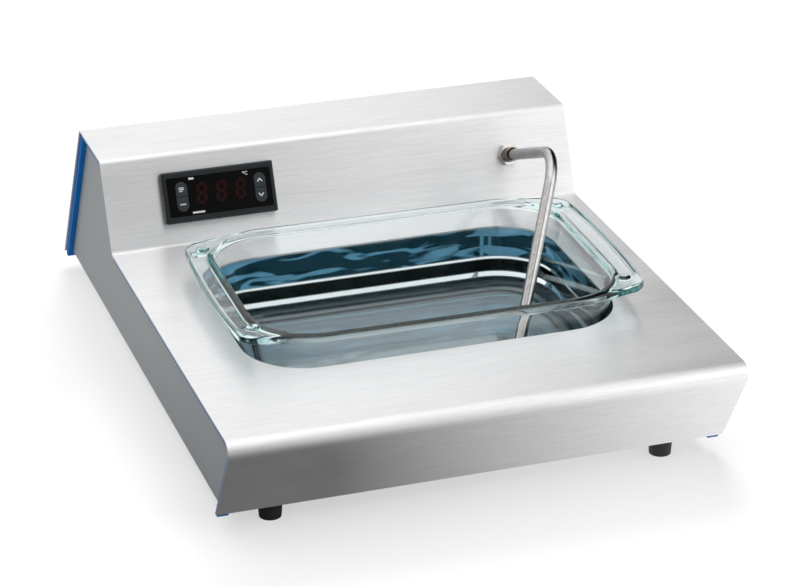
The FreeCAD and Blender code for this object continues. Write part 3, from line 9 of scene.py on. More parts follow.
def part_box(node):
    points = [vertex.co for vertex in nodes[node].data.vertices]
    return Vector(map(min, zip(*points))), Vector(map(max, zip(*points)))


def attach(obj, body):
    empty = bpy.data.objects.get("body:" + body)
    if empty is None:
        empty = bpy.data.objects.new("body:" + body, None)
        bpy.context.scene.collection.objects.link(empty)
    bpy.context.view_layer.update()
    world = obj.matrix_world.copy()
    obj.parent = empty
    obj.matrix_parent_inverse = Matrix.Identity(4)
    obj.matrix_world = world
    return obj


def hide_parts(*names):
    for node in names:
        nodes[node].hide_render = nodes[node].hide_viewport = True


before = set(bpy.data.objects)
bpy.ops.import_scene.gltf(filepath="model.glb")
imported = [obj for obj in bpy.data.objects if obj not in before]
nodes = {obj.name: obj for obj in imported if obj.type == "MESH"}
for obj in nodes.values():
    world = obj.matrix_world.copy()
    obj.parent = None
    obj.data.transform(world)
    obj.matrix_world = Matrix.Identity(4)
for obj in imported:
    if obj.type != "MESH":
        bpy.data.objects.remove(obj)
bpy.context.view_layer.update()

# Shared measures

mm = 0.001
inkThickness = 0.05
consoleLean = math.radians(24.55)
consoleUp = Vector((0, math.sin(consoleLean), math.cos(consoleLean)))
consoleOut = Vector((0, -math.cos(consoleLean), math.sin(consoleLean)))


# Camera

cameraSet = {"place": (-0.52396, -1.59933, 0.82634), "pitch": 24.7945, "yaw": 18.6015, "lens": 130.736,
             "sensor": 36, "nearest": 0.05}
cameraData = bpy.data.cameras.new("camera")
cameraData.lens = cameraSet["lens"]
cameraData.sensor_width = cameraSet["sensor"]
cameraData.clip_start = cameraSet["nearest"]
camera = bpy.data.objects.new("camera", cameraData)
camera.location = cameraSet["place"]
camera.rotation_euler = (math.radians(90 - cameraSet["pitch"]), 0, math.radians(-cameraSet["yaw"]))
bpy.context.scene.collection.objects.link(camera)
bpy.context.scene.camera = camera
bpy.context.scene.view_settings.view_transform = "Standard"
print("camera placed")


# Shader helpers

def newMaterial(name):
    material = bpy.data.materials.new(name)
    material.use_nodes = True
    tree = material.node_tree
    shader = tree.nodes["Principled BSDF"]
    return material, tree, shader


def addNode(tree, kind, values=None, **settings):
    node = tree.nodes.new(kind)
    for name, setting in settings.items():
        setattr(node, name, setting)
    for name, content in (values or {}).items():
        node.inputs[name].default_value = content
    return node


def link(tree, source, target):
    tree.links.new(source, target)


def feed(tree, socket, content):
    # Gives a socket another node's output, or a fixed value
    if isinstance(content, bpy.types.NodeSocket):
        link(tree, content, socket)
    else:
        socket.default_value = content


def calculate(tree, operation, *contents):
    node = addNode(tree, "ShaderNodeMath", operation=operation)
    for socket, content in zip(node.inputs, contents):
        feed(tree, socket, content)
    return node.outputs[0]


def calculateVector(tree, operation, *contents):
    node = addNode(tree, "ShaderNodeVectorMath", operation=operation)
    for socket, content in zip(node.inputs, contents):
        feed(tree, socket, content)
    return node.outputs["Value" if operation == "LENGTH" else "Vector"]


def objectPlace(tree):
    return addNode(tree, "ShaderNodeTexCoord").outputs["Object"]


def splitAxes(tree, vector):
    split = addNode(tree, "ShaderNodeSeparateXYZ")
    link(tree, vector, split.inputs["Vector"])
    return [split.outputs[axis] for axis in "XYZ"]


def setShader(shader, **values):
    names = {
        "color": "Base Color", "metallic": "Metallic", "roughness": "Roughness", "ior": "IOR",
        "transmission": "Transmission Weight", "anisotropic": "Anisotropic",
        "specular": "Specular IOR Level", "turn": "Anisotropic Rotation",
    }
    for name, content in values.items():
        socket = shader.inputs[names[name]]
        socket.default_value = (*content, 1) if name == "color" else content


def stretchedNoise(tree, scale, detail=3.0, roughness=0.6):
    # Noise in object space, stretched by a different scale along each axis
    mapping = addNode(tree, "ShaderNodeMapping", {"Scale": scale})
    noise = addNode(tree, "ShaderNodeTexNoise", {"Scale": 1.0, "Detail": detail, "Roughness": roughness})
    link(tree, objectPlace(tree), mapping.inputs["Vector"])
    link(tree, mapping.outputs["Vector"], noise.inputs["Vector"])
    return noise


def remap(tree, source, fromRange, toRange=(0, 1)):
    values = {"From Min": fromRange[0], "From Max": fromRange[1], "To Min": toRange[0], "To Max": toRange[1]}
    node = addNode(tree, "ShaderNodeMapRange", values)
    link(tree, source, node.inputs["Value"])
    return node.outputs["Result"]


def mixColors(tree, factor, first, second):
    # Blends two colours, each given or another node's output
    node = addNode(tree, "ShaderNodeMix", data_type="RGBA")
    link(tree, factor, node.inputs[0])
    for socket, color in ((node.inputs[6], first), (node.inputs[7], second)):
        feed(tree, socket, (*color, 1) if isinstance(color, tuple) else color)
    return node.outputs[2]


def mixNumbers(tree, factor, first, second):
    # Blends two numbers, each given or another node's output
    node = addNode(tree, "ShaderNodeMix", data_type="FLOAT")
    link(tree, factor, node.inputs[0])
    feed(tree, node.inputs[2], first)
    feed(tree, node.inputs[3], second)
    return node.outputs[0]


def mixShaders(tree, factor, first, second):
    node = addNode(tree, "ShaderNodeMixShader")
    for socket, source in zip(node.inputs, (factor, first, second)):
        link(tree, source, socket)
    return node.outputs["Shader"]


def seenPlainly(tree, rays):
    # 1 for the camera's rays and for those through glass
    return calculate(tree, "MAXIMUM", rays.outputs["Is Camera Ray"], rays.outputs["Is Transmission Ray"])


def addBump(tree, shader, height, strength, distance):
    bump = addNode(tree, "ShaderNodeBump", {"Strength": strength, "Distance": distance})
    link(tree, height, bump.inputs["Height"])
    link(tree, bump.outputs["Normal"], shader.inputs["Normal"])


# Materials

noiseSpan, streakSpan = (0.3, 0.7), (0.7, 1.3)
grainDepth, paintDepth, glassDepth = 0.00003, 0.0001, 0.001
paintGrain, paintShade = (900, 900, 900), 0.86
brushTurn = 0.25
anyHeight = 100  # Taller than anything here, so that only the plan counts


def makeBrushed(name, look):
    # Metal with fine grain and streaks, which lie along the width where the look says so
    material, tree, shader = newMaterial(name)
    setShader(shader, metallic=1.0, anisotropic=look["anisotropic"], turn=brushTurn)
    fine = stretchedNoise(tree, look["grain"], detail=2.0, roughness=0.5)
    streaks = stretchedNoise(tree, look.get("streaks", look["grain"]), detail=2.0, roughness=0.5)
    broad = stretchedNoise(tree, look["clouds"], detail=2.0)
    both = calculate(tree, "ADD", fine.outputs["Fac"], streaks.outputs["Fac"])
    color = mixColors(tree, remap(tree, both, streakSpan), look["dark"], look["light"])
    link(tree, color, shader.inputs["Base Color"])
    link(tree, remap(tree, broad.outputs["Fac"], noiseSpan, look["roughness"]), shader.inputs["Roughness"])
    along = addNode(tree, "ShaderNodeCombineXYZ", {"X": 1.0})
    link(tree, along.outputs["Vector"], shader.inputs["Tangent"])
    addBump(tree, shader, fine.outputs["Fac"], look["bump"], grainDepth)
    return material


def makePaint(name, color, roughness, bump=0.15, specular=0.5):
    # A moulded or painted surface with a fine grain
    material, tree, shader = newMaterial(name)
    setShader(shader, color=color, roughness=roughness, specular=specular)
    noise = stretchedNoise(tree, paintGrain, detail=2.0)
    dark = tuple(paintShade * part for part in color)
    link(tree, mixColors(tree, noise.outputs["Fac"], dark, color), shader.inputs["Base Color"])
    addBump(tree, shader, noise.outputs["Fac"], bump, paintDepth)
    return material


def rampNode(tree, source, span, stops):
    # Colours at places along a range, such as heights in a wall
    low, high = span
    ramp = addNode(tree, "ShaderNodeValToRGB")
    link(tree, remap(tree, source, span), ramp.inputs["Fac"])
    elements = ramp.color_ramp.elements
    for _ in stops[2:]:
        elements.new(0.5)
    for element, (place, color) in zip(elements, stops):
        element.position = (place - low) / (high - low)
        element.color = (*color, 1)
    return ramp.outputs["Color"]


def roundedDistance(tree, middle, halfSize, corner):
    # How far a point lies outside a rounded rectangle in plan, less than 0 within it
    moved = calculateVector(tree, "SUBTRACT", objectPlace(tree), (*middle, 0))
    folded = calculateVector(tree, "ABSOLUTE", moved)
    straight = (halfSize[0] - corner, halfSize[1] - corner, anyHeight)
    past = calculateVector(tree, "SUBTRACT", folded, straight)
    outside = calculateVector(tree, "LENGTH", calculateVector(tree, "MAXIMUM", past, (0, 0, 0)))
    alongX, alongY, _ = splitAxes(tree, past)
    inside = calculate(tree, "MINIMUM", calculate(tree, "MAXIMUM", alongX, alongY), 0.0)
    return calculate(tree, "SUBTRACT", calculate(tree, "ADD", outside, inside), corner)


def makeWell(name, look):
    # Polished steel whose field, bands, glints and blue ripples are painted reflections, not true mirror
    # images
    material, tree, shader = newMaterial(name)
    setShader(shader, specular=look["specular"])
    low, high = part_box("well_tray")
    middle = ((low.x + high.x) / 2, (low.y + high.y) / 2)
    halfSize = ((high.x - low.x) / 2 - look["rim"], (high.y - low.y) / 2 - look["rim"])
    distance = roundedDistance(tree, middle, halfSize, look["fieldCorner"])
    # Painted reflections on the floor of the well: rings of light and dark inside its edge
    field = rampNode(tree, distance, look["fieldRange"], look["field"])
    side, depth, height = splitAxes(tree, objectPlace(tree))
    waves = stretchedNoise(tree, look["waves"], detail=1.0)
    waves.inputs["Distortion"].default_value = look["swirl"]
    # Painted glints: a bright double streak at set places along the width
    glint = rampNode(tree, side, look["glintRange"], look["glint"])
    ripple = calculate(tree, "MAXIMUM", remap(tree, waves.outputs["Fac"], look["rippleRange"]), glint)
    # The blue wall with painted ripple reflections in light and dark
    paintedRipples = mixColors(tree, ripple, look["wallDark"], look["wall"])
    # Painted bands of reflected light and dark up the wall, by height
    bands = rampNode(tree, height, look["bandRange"], look["bands"])
    wall = mixColors(tree, remap(tree, height, look["paintedRippleHeights"]), bands, paintedRipples)
    whole = mixColors(tree, remap(tree, height, look["floorHeights"]), field, wall)
    # Painted shade: the well turns darker towards its front
    front = low.y + look["rim"]
    nearFront = remap(tree, depth, [front + shift for shift in look["frontFade"]])
    color = mixColors(tree, nearFront, look["frontPaintedShade"], whole)
    link(tree, color, shader.inputs["Base Color"])
    parts = addNode(tree, "ShaderNodeSeparateColor")
    link(tree, color, parts.inputs["Color"])
    link(tree, remap(tree, parts.outputs["Red"], look["metalFrom"], look["metal"]), shader.inputs["Metallic"])
    link(tree, remap(tree, waves.outputs["Fac"], noiseSpan, look["roughness"]), shader.inputs["Roughness"])
    # The relief leans the two bright bands back, so that they face up
    lower, upper = (remap(tree, height, ledge, (0, ledge[0] - ledge[1])) for ledge in look["ledges"])
    ledges = calculate(tree, "ADD", lower, upper)
    relief = calculate(tree, "MULTIPLY_ADD", waves.outputs["Fac"], look["ripple"], ledges)
    addBump(tree, shader, relief, 1.0, 1.0)
    return material


def makeGlass(name, look):
    # Clear glass that takes on its colour with depth
    material, tree, shader = newMaterial(name)
    setShader(shader, color=look["color"], roughness=look["roughness"], ior=look["ior"], transmission=1.0)
    waves = stretchedNoise(tree, look["waves"], detail=1.0)
    addBump(tree, shader, waves.outputs["Fac"], look["bump"], glassDepth)
    volume = addNode(tree, "ShaderNodeVolumeAbsorption", {"Density": look["density"]})
    volume.inputs["Color"].default_value = (*look["absorb"], 1)
    link(tree, volume.outputs["Volume"], tree.nodes["Material Output"].inputs["Volume"])
    return material


brushedLook = {"dark": (0.76, 0.76, 0.77), "light": (0.85, 0.85, 0.855), "grain": (80, 1500, 1500),
               "streaks": (25, 900, 900), "clouds": (9, 30, 30), "roughness": (0.36, 0.43),
               "anisotropic": 0.85, "bump": 0.05}
probeLook = {"dark": (0.44, 0.43, 0.42), "light": (0.52, 0.51, 0.5), "grain": (500, 500, 30),
             "clouds": (60, 60, 60), "roughness": (0.17, 0.22), "anisotropic": 0.0, "bump": 0.03}
nutLook = {"dark": (0.56, 0.54, 0.51), "light": (0.64, 0.62, 0.59), "grain": (500, 500, 500),
           "clouds": (80, 80, 80), "roughness": (0.1, 0.16), "anisotropic": 0.0, "bump": 0.04}
ferruleLook = dict(nutLook, dark=(0.36, 0.3, 0.26), light=(0.5, 0.43, 0.38), roughness=(0.16, 0.24))
zincLook = {"dark": (0.5, 0.51, 0.53), "light": (0.66, 0.67, 0.69), "grain": (260, 260, 260),
            "clouds": (40, 40, 40), "roughness": (0.3, 0.42), "anisotropic": 0.0, "bump": 0.15}
# Colours of the well's painted reflections: white, black and silver bands, dark field lines and glints
bandWhite, bandBlack, bandSilver = (0.95, 0.97, 1.0), (0.004, 0.008, 0.009), (0.86, 0.89, 0.91)
fieldLine, glintOff, glintOn = (0.02, 0.04, 0.05), (0, 0, 0), (1, 1, 1)
glintFaint, glintSecond = (0.1, 0.1, 0.1), (0.8, 0.8, 0.8)
wellLook = {
    "specular": 0.1, "rim": 0.011, "fieldCorner": 0.041, "fieldRange": (-0.02, 0.002),
    "field": [(-0.0195, (0.78, 0.81, 0.88)), (-0.0175, (0.62, 0.68, 0.78)), (-0.016, fieldLine),
              (-0.013, fieldLine), (-0.0115, (0.4, 0.5, 0.56)), (-0.008, (0.3, 0.38, 0.42)),
              (-0.006, (0.03, 0.06, 0.08)), (-0.001, (0.1, 0.14, 0.17))],
    "frontFade": (0.05, 0.1), "frontPaintedShade": (0.012, 0.03, 0.036),
    "bandRange": (0.03, 0.053),
    "bands": [(0.0305, (0.08, 0.12, 0.14)), (0.0355, (0.05, 0.08, 0.1)), (0.0368, bandWhite),
              (0.0398, bandWhite), (0.0408, bandBlack), (0.0485, bandBlack),
              (0.0492, bandSilver), (0.0505, bandSilver)],
    "paintedRippleHeights": (0.0505, 0.0515), "floorHeights": (0.0302, 0.0306),
    "metalFrom": (0.78, 0.84), "metal": (0.25, 1.0), "ledges": [(0.0366, 0.04), (0.049, 0.0507)],
    "wallDark": (0.006, 0.07, 0.11), "wall": (0.26, 0.66, 0.95), "rippleRange": (0.51, 0.58),
    "glintRange": (0.075, 0.091),
    "glint": [(0.0785, glintOff), (0.0795, glintOn), (0.081, glintOn), (0.082, glintFaint),
              (0.084, glintFaint), (0.085, glintSecond), (0.086, glintSecond), (0.087, glintOff)],
    "waves": (30, 30, 120), "swirl": 0.8, "roughness": (0.03, 0.08), "ripple": 0.0006,
}
glassLook = {"color": (1.0, 1.0, 1.0), "roughness": 0.0, "ior": 1.48, "waves": (22, 22, 22), "bump": 0.12,
             "absorb": (0.35, 0.86, 0.86), "density": 22.0}

brushed = makeBrushed("brushedSteel", brushedLook)
probeSteel = makeBrushed("probeSteel", probeLook)
nickel = makeBrushed("nickel", nutLook)
bronze = makeBrushed("ferruleMetal", ferruleLook)
zinc = makeBrushed("zinc", zincLook)
greyPaint = makePaint("greyPaint", (0.26, 0.28, 0.29), 0.42, bump=0.12)
bluePaint = makePaint("blueTrim", (0.0, 0.13, 0.42), 0.5, specular=0.08)
rubber = makePaint("rubber", (0.012, 0.013, 0.015), 0.62, bump=0.35)
bezelPlastic = makePaint("bezelPlastic", (0.008, 0.014, 0.016), 0.3, bump=0.06, specular=0.3)
keyPlastic = makePaint("keyPlastic", (0.02, 0.03, 0.037), 0.4, bump=0.1, specular=0.35)
blackPlastic = makePaint("blackPlastic", (0.02, 0.02, 0.022), 0.45, bump=0.2)
rockerPlastic = makePaint("rockerPlastic", (0.014, 0.014, 0.015), 0.2)
windowPlastic = makePaint("windowPlastic", (0.0015, 0.001, 0.0012), 0.2, bump=0.01, specular=0.1)
whiteInk = makePaint("whiteInk", (0.78, 0.8, 0.8), 0.5)
digitRed = makePaint("digitRed", (0.022, 0.0012, 0.0015), 0.4, bump=0.01, specular=0.1)
silicone = makePaint("silicone", (0.5, 0.13, 0.04), 0.6)
insulation = makePaint("insulation", (0.6, 0.57, 0.5), 0.9, bump=0.9)
boardGreen = makePaint("boardGreen", (0.02, 0.12, 0.05), 0.35)
terminalGreen = makePaint("terminalGreen", (0.03, 0.22, 0.11), 0.5)
relayWhite = makePaint("relayWhite", (0.72, 0.7, 0.65), 0.5)
brass = makeBrushed("brass", dict(nutLook, dark=(0.55, 0.38, 0.14), light=(0.78, 0.58, 0.26)))
polishedWell = makeWell("polishedWell", wellLook)
clearGlass = makeGlass("clearGlass", glassLook)

finishes = {
    "housing_shell": brushed, "side_panel_left": greyPaint, "side_panel_right": greyPaint,
    "edge_trim_left": bluePaint, "edge_trim_right": bluePaint, "base_plate": zinc,
    "foot_front_left": rubber, "foot_front_right": rubber, "foot_rear_left": rubber,
    "foot_rear_right": rubber, "foot_screws": zinc, "foot_nuts": zinc, "base_screws": zinc,
    "inlet_screws": zinc, "well_tray": polishedWell, "heater_mat": silicone,
    "insulation_pad": insulation, "thermal_cutout": zinc, "probe_tube": probeSteel,
    "temperature_sensor": probeSteel, "probe_nut": nickel, "probe_gland": nickel,
    "probe_ferrule": bronze, "probe_locknut": nickel, "controller_bezel": bezelPlastic,
    "controller_window": windowPlastic, "key_set": keyPlastic, "key_menu": keyPlastic,
    "key_up": keyPlastic, "key_down": keyPlastic, "controller_case": blackPlastic,
    "display_board": boardGreen, "controller_clips": blackPlastic,
    "controller_terminals": terminalGreen, "mains_inlet": blackPlastic,
    "switch_body": blackPlastic, "switch_rocker": rockerPlastic, "relay": relayWhite,
    "terminal_block": terminalGreen, "earth_stud": brass, "glass_dish": clearGlass,
}
for name, material in finishes.items():
    node = nodes[name]
    node.data.materials.clear()
    node.data.materials.append(material)
print("materials given to", len(finishes), "nodes")


# Mesh helpers

arcSteps, longestPiece = 8, 2


def addObject(name, mesh, material):
    mesh.materials.append(material)
    item = bpy.data.objects.new(name, mesh)
    bpy.context.scene.collection.objects.link(item)
    return item


def newObject(name, vertices, faces, material, smooth=True):
    mesh = bpy.data.meshes.new(name)
    mesh.from_pydata([tuple(vertex) for vertex in vertices], [], faces)
    for polygon in mesh.polygons:
        polygon.use_smooth = smooth
    return addObject(name, mesh, material)


def roundedReach(theta, halfLength, halfBreadth, corner):
    # Distance from the middle to a rounded rectangle along each angle
    across, up = np.abs(np.cos(theta)), np.abs(np.sin(theta))
    toSide = halfLength / np.maximum(across, 1e-9)
    toTop = halfBreadth / np.maximum(up, 1e-9)
    cornerX, cornerY = halfLength - corner, halfBreadth - corner
    along = across * cornerX + up * cornerY
    inside = np.maximum(along ** 2 - (cornerX ** 2 + cornerY ** 2 - corner ** 2), 0)
    toCorner = along + np.sqrt(inside)
    return np.where(toSide * up <= cornerY, toSide, np.where(toTop * across <= cornerX, toTop, toCorner))


def filletOutline(corners):
    # A dense closed line through (x, y, radius) corners
    points = []
    count = len(corners)
    for index, (x, y, radius) in enumerate(corners):
        here = np.array((x, y), float)
        before = np.array(corners[index - 1][:2], float) - here
        after = np.array(corners[(index + 1) % count][:2], float) - here
        if radius <= 0:
            points.append(here)
            continue
        before /= np.linalg.norm(before)
        after /= np.linalg.norm(after)
        half = math.acos(np.clip(before @ after, -1, 1)) / 2
        middle = (before + after) / np.linalg.norm(before + after)
        centre = here + middle * radius / math.sin(half)
        setback = radius / math.tan(half)
        start = here + before * setback - centre
        end = here + after * setback - centre
        startAngle = math.atan2(start[1], start[0])
        turn = math.atan2(end[1], end[0]) - startAngle
        turn = (turn + math.pi) % (2 * math.pi) - math.pi
        for step in range(arcSteps + 1):
            angle = startAngle + turn * step / arcSteps
            points.append(centre + radius * np.array((math.cos(angle), math.sin(angle))))
    dense = []
    for index, start in enumerate(points):
        end = points[(index + 1) % len(points)]
        pieces = max(1, int(np.linalg.norm(end - start) // longestPiece))
        dense += [start + (end - start) * step / pieces for step in range(pieces)]
    return np.array(dense)


def stackRings(rings, bottom, top):
    # A closed surface from rings of equal count, with a middle point at each end
    count = len(rings[0])
    vertices = [tuple(bottom)] + [tuple(point) for ring in rings for point in ring] + [tuple(top)]
    faces = []
    for step in range(count):
        faces.append((0, 1 + step, 1 + (step + 1) % count))
    for level in range(len(rings) - 1):
        low, high = 1 + level * count, 1 + (level + 1) * count
        for step in range(count):
            after = (step + 1) % count
            faces.append((low + step, high + step, high + after, low + after))
    last = 1 + (len(rings) - 1) * count
    end = len(vertices) - 1
    for step in range(count):
        faces.append((end, last + (step + 1) % count, last + step))
    return vertices, faces


# Glass dish

dishShape = {
    "halfLength": 114, "halfBreadth": 77.5, "corner": 38, "smallestCorner": 3,
    "draft": math.tan(math.radians(12)), "height": 62, "floor": 4.5, "wall": 3.4, "rimHeight": 5,
    "turn": math.radians(-0.8), "insideFoot": 7, "outsideFoot": 9, "topRound": 1.8, "underRound": 1.0,
    "reach": 131, "cornerReach": 127.5, "handleHalf": 71.5, "bevel": 5.5, "handleCorner": 5,
    "shoulder": 84, "sweep": 60, "side": 82, "samples": 720, "bowSamples": 25,
    "lip": 1.1, "crown": 0.35, "crownWidth": (9, 4), "underSag": 0.25,
    "dip": 1.4, "dipAlong": (60, 9), "dipAcross": (95, 8), "dipInside": (2.4, 2.2), "dipOutside": (1.6, 2.2),
    "knob": (117, 59), "knobRadius": 4, "knobHeight": 1.8, "knobSlope": (0.7, 1.8),
}
dishRings = {
    "floor": (0.25, 0.5, 0.75, 0.92), "insideFoot": 7, "insideWall": (18, 25, 32, 39, 46, 52, 57, 60),
    "mouth": ((0.2, 60.9), (-0.05, 61.5), (-0.5, 61.88)), "top": 19, "topRound": 6, "underRound": 4,
    "under": (0.4, 0.8, 0.95), "outsideWall": (55.6, 50, 44, 38, 31, 24, 17), "outsideFoot": 8,
    "base": (0.92, 0.7, 0.4, 0.15),
}


def dishOutline(shape):
    # The rim's outline, with bowed handles
    low = shape["handleHalf"] - shape["bevel"]
    bow = shape["reach"] - shape["cornerReach"]
    inner = shape["cornerReach"] - shape["bevel"]
    corner, sweep = shape["handleCorner"], shape["sweep"]
    levels = np.linspace(-low, low, shape["bowSamples"])[1:-1]
    right = [(shape["reach"] - bow * (y / low) ** 2, y, 0) for y in levels]
    right = [(shape["cornerReach"], -low, corner)] + right + [(shape["cornerReach"], low, corner)]
    upper = [(inner, shape["handleHalf"], corner), (shape["shoulder"], shape["side"], sweep),
             (-shape["shoulder"], shape["side"], sweep), (-inner, shape["handleHalf"], corner)]
    left = [(-x, -y, radius) for x, y, radius in right]
    lower = [(-x, -y, radius) for x, y, radius in upper]
    return filletOutline(right + upper + left + lower)


def evenAngles(outline, count):
    # Angles at which the outline is cut into equal lengths
    closed = np.vstack([outline, outline[:1]])
    steps = np.hypot(*np.diff(closed, axis=0).T)
    along = np.concatenate([[0], np.cumsum(steps)])
    wanted = np.linspace(0, along[-1], count, endpoint=False)
    x, y = np.interp(wanted, along, closed[:, 0]), np.interp(wanted, along, closed[:, 1])
    return np.unwrap(np.arctan2(y, x))


def outlineReach(outline, theta):
    angles = np.arctan2(outline[:, 1], outline[:, 0])
    order = np.argsort(angles)
    return np.interp(np.mod(theta + math.pi, 2 * math.pi) - math.pi, angles[order],
                     np.hypot(*outline[order].T), period=2 * math.pi)


def wallReach(shape, theta, inset):
    return roundedReach(theta, shape["halfLength"] - inset, shape["halfBreadth"] - inset,
                        max(shape["corner"] - inset, shape["smallestCorner"]))


def footArc(shape, level, radius, offset, steps):
    # (inset, height) along the round between a floor at this level and the drafted wall
    draft = math.atan(shape["draft"])
    centreHeight = level + radius
    wallInset = offset + (shape["height"] - centreHeight) * shape["draft"]
    centreInset = wallInset + radius / math.cos(draft)
    angles = np.linspace(0, math.pi / 2 - draft, steps)
    return [(centreInset - radius * math.sin(angle), centreHeight - radius * math.cos(angle))
            for angle in angles]


def ringAt(theta, reach, height):
    heights = np.broadcast_to(height, theta.shape)
    return np.column_stack([reach * np.cos(theta), reach * np.sin(theta), heights])


def smoothStep(value):
    clipped = np.clip(value, 0, 1)
    return clipped * clipped * (3 - 2 * clipped)


def handleRelief(shape, ring, fromInside, fromOutside):
    # The hollow along each handle and the knobs at its ends
    x, y = np.abs(ring[:, 0]), np.abs(ring[:, 1])
    endY, fadeY = shape["dipAlong"]
    startX, fadeX = shape["dipAcross"]
    insideStart, insideFade = shape["dipInside"]
    outsideStart, outsideFade = shape["dipOutside"]
    knobEdge, knobFade = shape["knobSlope"]
    along = smoothStep((endY - y) / fadeY) * smoothStep((x - startX) / fadeX)
    hollow = smoothStep((fromInside - insideStart) / insideFade)
    hollow = hollow * smoothStep((fromOutside - outsideStart) / outsideFade)
    distance = np.hypot(x - shape["knob"][0], y - shape["knob"][1])
    knob = smoothStep((shape["knobRadius"] + knobEdge - distance) / knobFade)
    return -shape["dip"] * hollow * along + shape["knobHeight"] * knob


def topRings(shape, theta, rimReach):
    # The rim's top face, from the opening's edge to the outer rounding
    innerEdge = wallReach(shape, theta, -shape["lip"])
    width = rimReach - shape["topRound"] - innerEdge
    widest, fade = shape["crownWidth"]
    rings = []
    for share in np.linspace(0, 1, dishRings["top"]):
        ring = ringAt(theta, innerEdge + width * share, shape["height"])
        crown = shape["crown"] * np.sin(math.pi * share) * smoothStep((widest - width) / fade)
        fromInside, fromOutside = width * share + shape["lip"], width * (1 - share) + shape["topRound"]
        ring[:, 2] += handleRelief(shape, ring, fromInside, fromOutside) + crown
        rings.append(ring)
    return rings


def edgeRings(shape, theta, rimReach, under):
    # The rim's outer roundings, above and below
    rings = []
    for angle in np.linspace(0, math.pi / 2, dishRings["topRound"])[1:]:
        reach = rimReach - shape["topRound"] * (1 - math.sin(angle))
        height = shape["height"] - shape["topRound"] * (1 - math.cos(angle))
        rings.append(ringAt(theta, reach, height))
    for angle in np.linspace(0, math.pi / 2, dishRings["underRound"]):
        reach = rimReach - shape["underRound"] * (1 - math.cos(angle))
        height = under + shape["underRound"] * (1 - math.sin(angle))
        rings.append(ringAt(theta, reach, height))
    return rings


def makeDish(shape):
    # Rings from the middle of the floor, up the inside, over the rim and down to the underside
    outline = dishOutline(shape)
    theta = evenAngles(outline, shape["samples"])
    rimReach = outlineReach(outline, theta)
    under = shape["height"] - shape["rimHeight"]

    def wallRing(inset, height):
        return ringAt(theta, wallReach(shape, theta, inset), height)

    def draftInset(height):
        return (shape["height"] - height) * shape["draft"]

    foot = footArc(shape, shape["floor"], shape["insideFoot"], 0, dishRings["insideFoot"])
    floorReach = wallReach(shape, theta, foot[0][0])
    rings = [ringAt(theta, floorReach * share, shape["floor"]) for share in dishRings["floor"]]
    rings += [wallRing(inset, height) for inset, height in foot]
    rings += [wallRing(draftInset(height), height) for height in dishRings["insideWall"]]
    rings += [wallRing(inset, height) for inset, height in dishRings["mouth"]]
    rings += topRings(shape, theta, rimReach) + edgeRings(shape, theta, rimReach, under)
    wallTop = wallReach(shape, theta, -shape["wall"] + draftInset(under))
    underEdge = rimReach - shape["underRound"]
    for share in dishRings["under"]:
        reach = np.maximum(underEdge + (wallTop - underEdge) * share, wallTop)
        rings.append(ringAt(theta, reach, under - shape["underSag"] * share))
    rings += [wallRing(-shape["wall"] + draftInset(height), height) for height in dishRings["outsideWall"]]
    foot = footArc(shape, 0, shape["outsideFoot"], -shape["wall"], dishRings["outsideFoot"])
    rings += [wallRing(inset, height) for inset, height in reversed(foot)]
    floorReach = wallReach(shape, theta, foot[0][0])
    rings += [ringAt(theta, floorReach * share, 0.0) for share in dishRings["base"]]
    vertices, faces = stackRings(rings, (0, 0, shape["floor"]), (0, 0, 0))
    return newObject("dish", np.array(vertices) * mm, faces, clearGlass)


low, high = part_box("glass_dish")
dishPlace = Matrix.Translation(((low.x + high.x) / 2, (low.y + high.y) / 2, low.z))
dish = makeDish(dishShape)
dish.data.transform(dishPlace @ Matrix.Rotation(dishShape["turn"], 4, "Z"))
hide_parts("glass_dish")
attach(dish, "housing")
print("dish made,", len(dish.data.vertices), "points")


# Controller: digits behind the window and symbols on the keys

def facePlace(node):
    # The middle of the front face of a piece on the console, as a matrix with Z outwards
    points = np.array([vertex.co for vertex in nodes[node].data.vertices])
    outward, upward = np.array(consoleOut), np.array(consoleUp)
    across = np.cross(upward, outward)
    depth = (points @ outward).max()
    rise = (points @ upward).min() / 2 + (points @ upward).max() / 2
    side = (points @ across).min() / 2 + (points @ across).max() / 2
    centre = Vector(across * side + upward * rise + outward * depth)
    turn = Matrix((Vector(across), consoleUp, consoleOut)).transposed().to_4x4()
    return Matrix.Translation(centre) @ turn


def plates(name, outlines, material, place):
    # Flat outlines in millimetres, raised into thin plates of ink
    work = bmesh.new()
    for outline in outlines:
        bottom = [work.verts.new((x * mm, y * mm, 0)) for x, y in outline]
        top = [work.verts.new((x * mm, y * mm, inkThickness * mm)) for x, y in outline]
        work.faces.new(top)
        work.faces.new(list(reversed(bottom)))
        for index in range(len(outline)):
            after = (index + 1) % len(outline)
            work.faces.new((bottom[index], bottom[after], top[after], top[index]))
    mesh = bpy.data.meshes.new(name)
    work.to_mesh(mesh)
    work.free()
    mesh.transform(place)
    return addObject(name, mesh, material)


digitSet = {"width": 7.2, "height": 14.0, "stroke": 2.3, "slant": 0.1, "pitch": 12.9, "gap": 0.25,
            "first": (-11.7, 1.0), "count": 3}


def segment(start, end, stroke):
    # A bar with pointed ends
    start, end = np.array(start, float), np.array(end, float)
    way = (end - start) / np.linalg.norm(end - start)
    side = np.array((-way[1], way[0])) * stroke / 2
    tip = way * stroke / 2
    return [start, start + tip + side, end - tip + side, end, end - tip - side, start + tip - side]


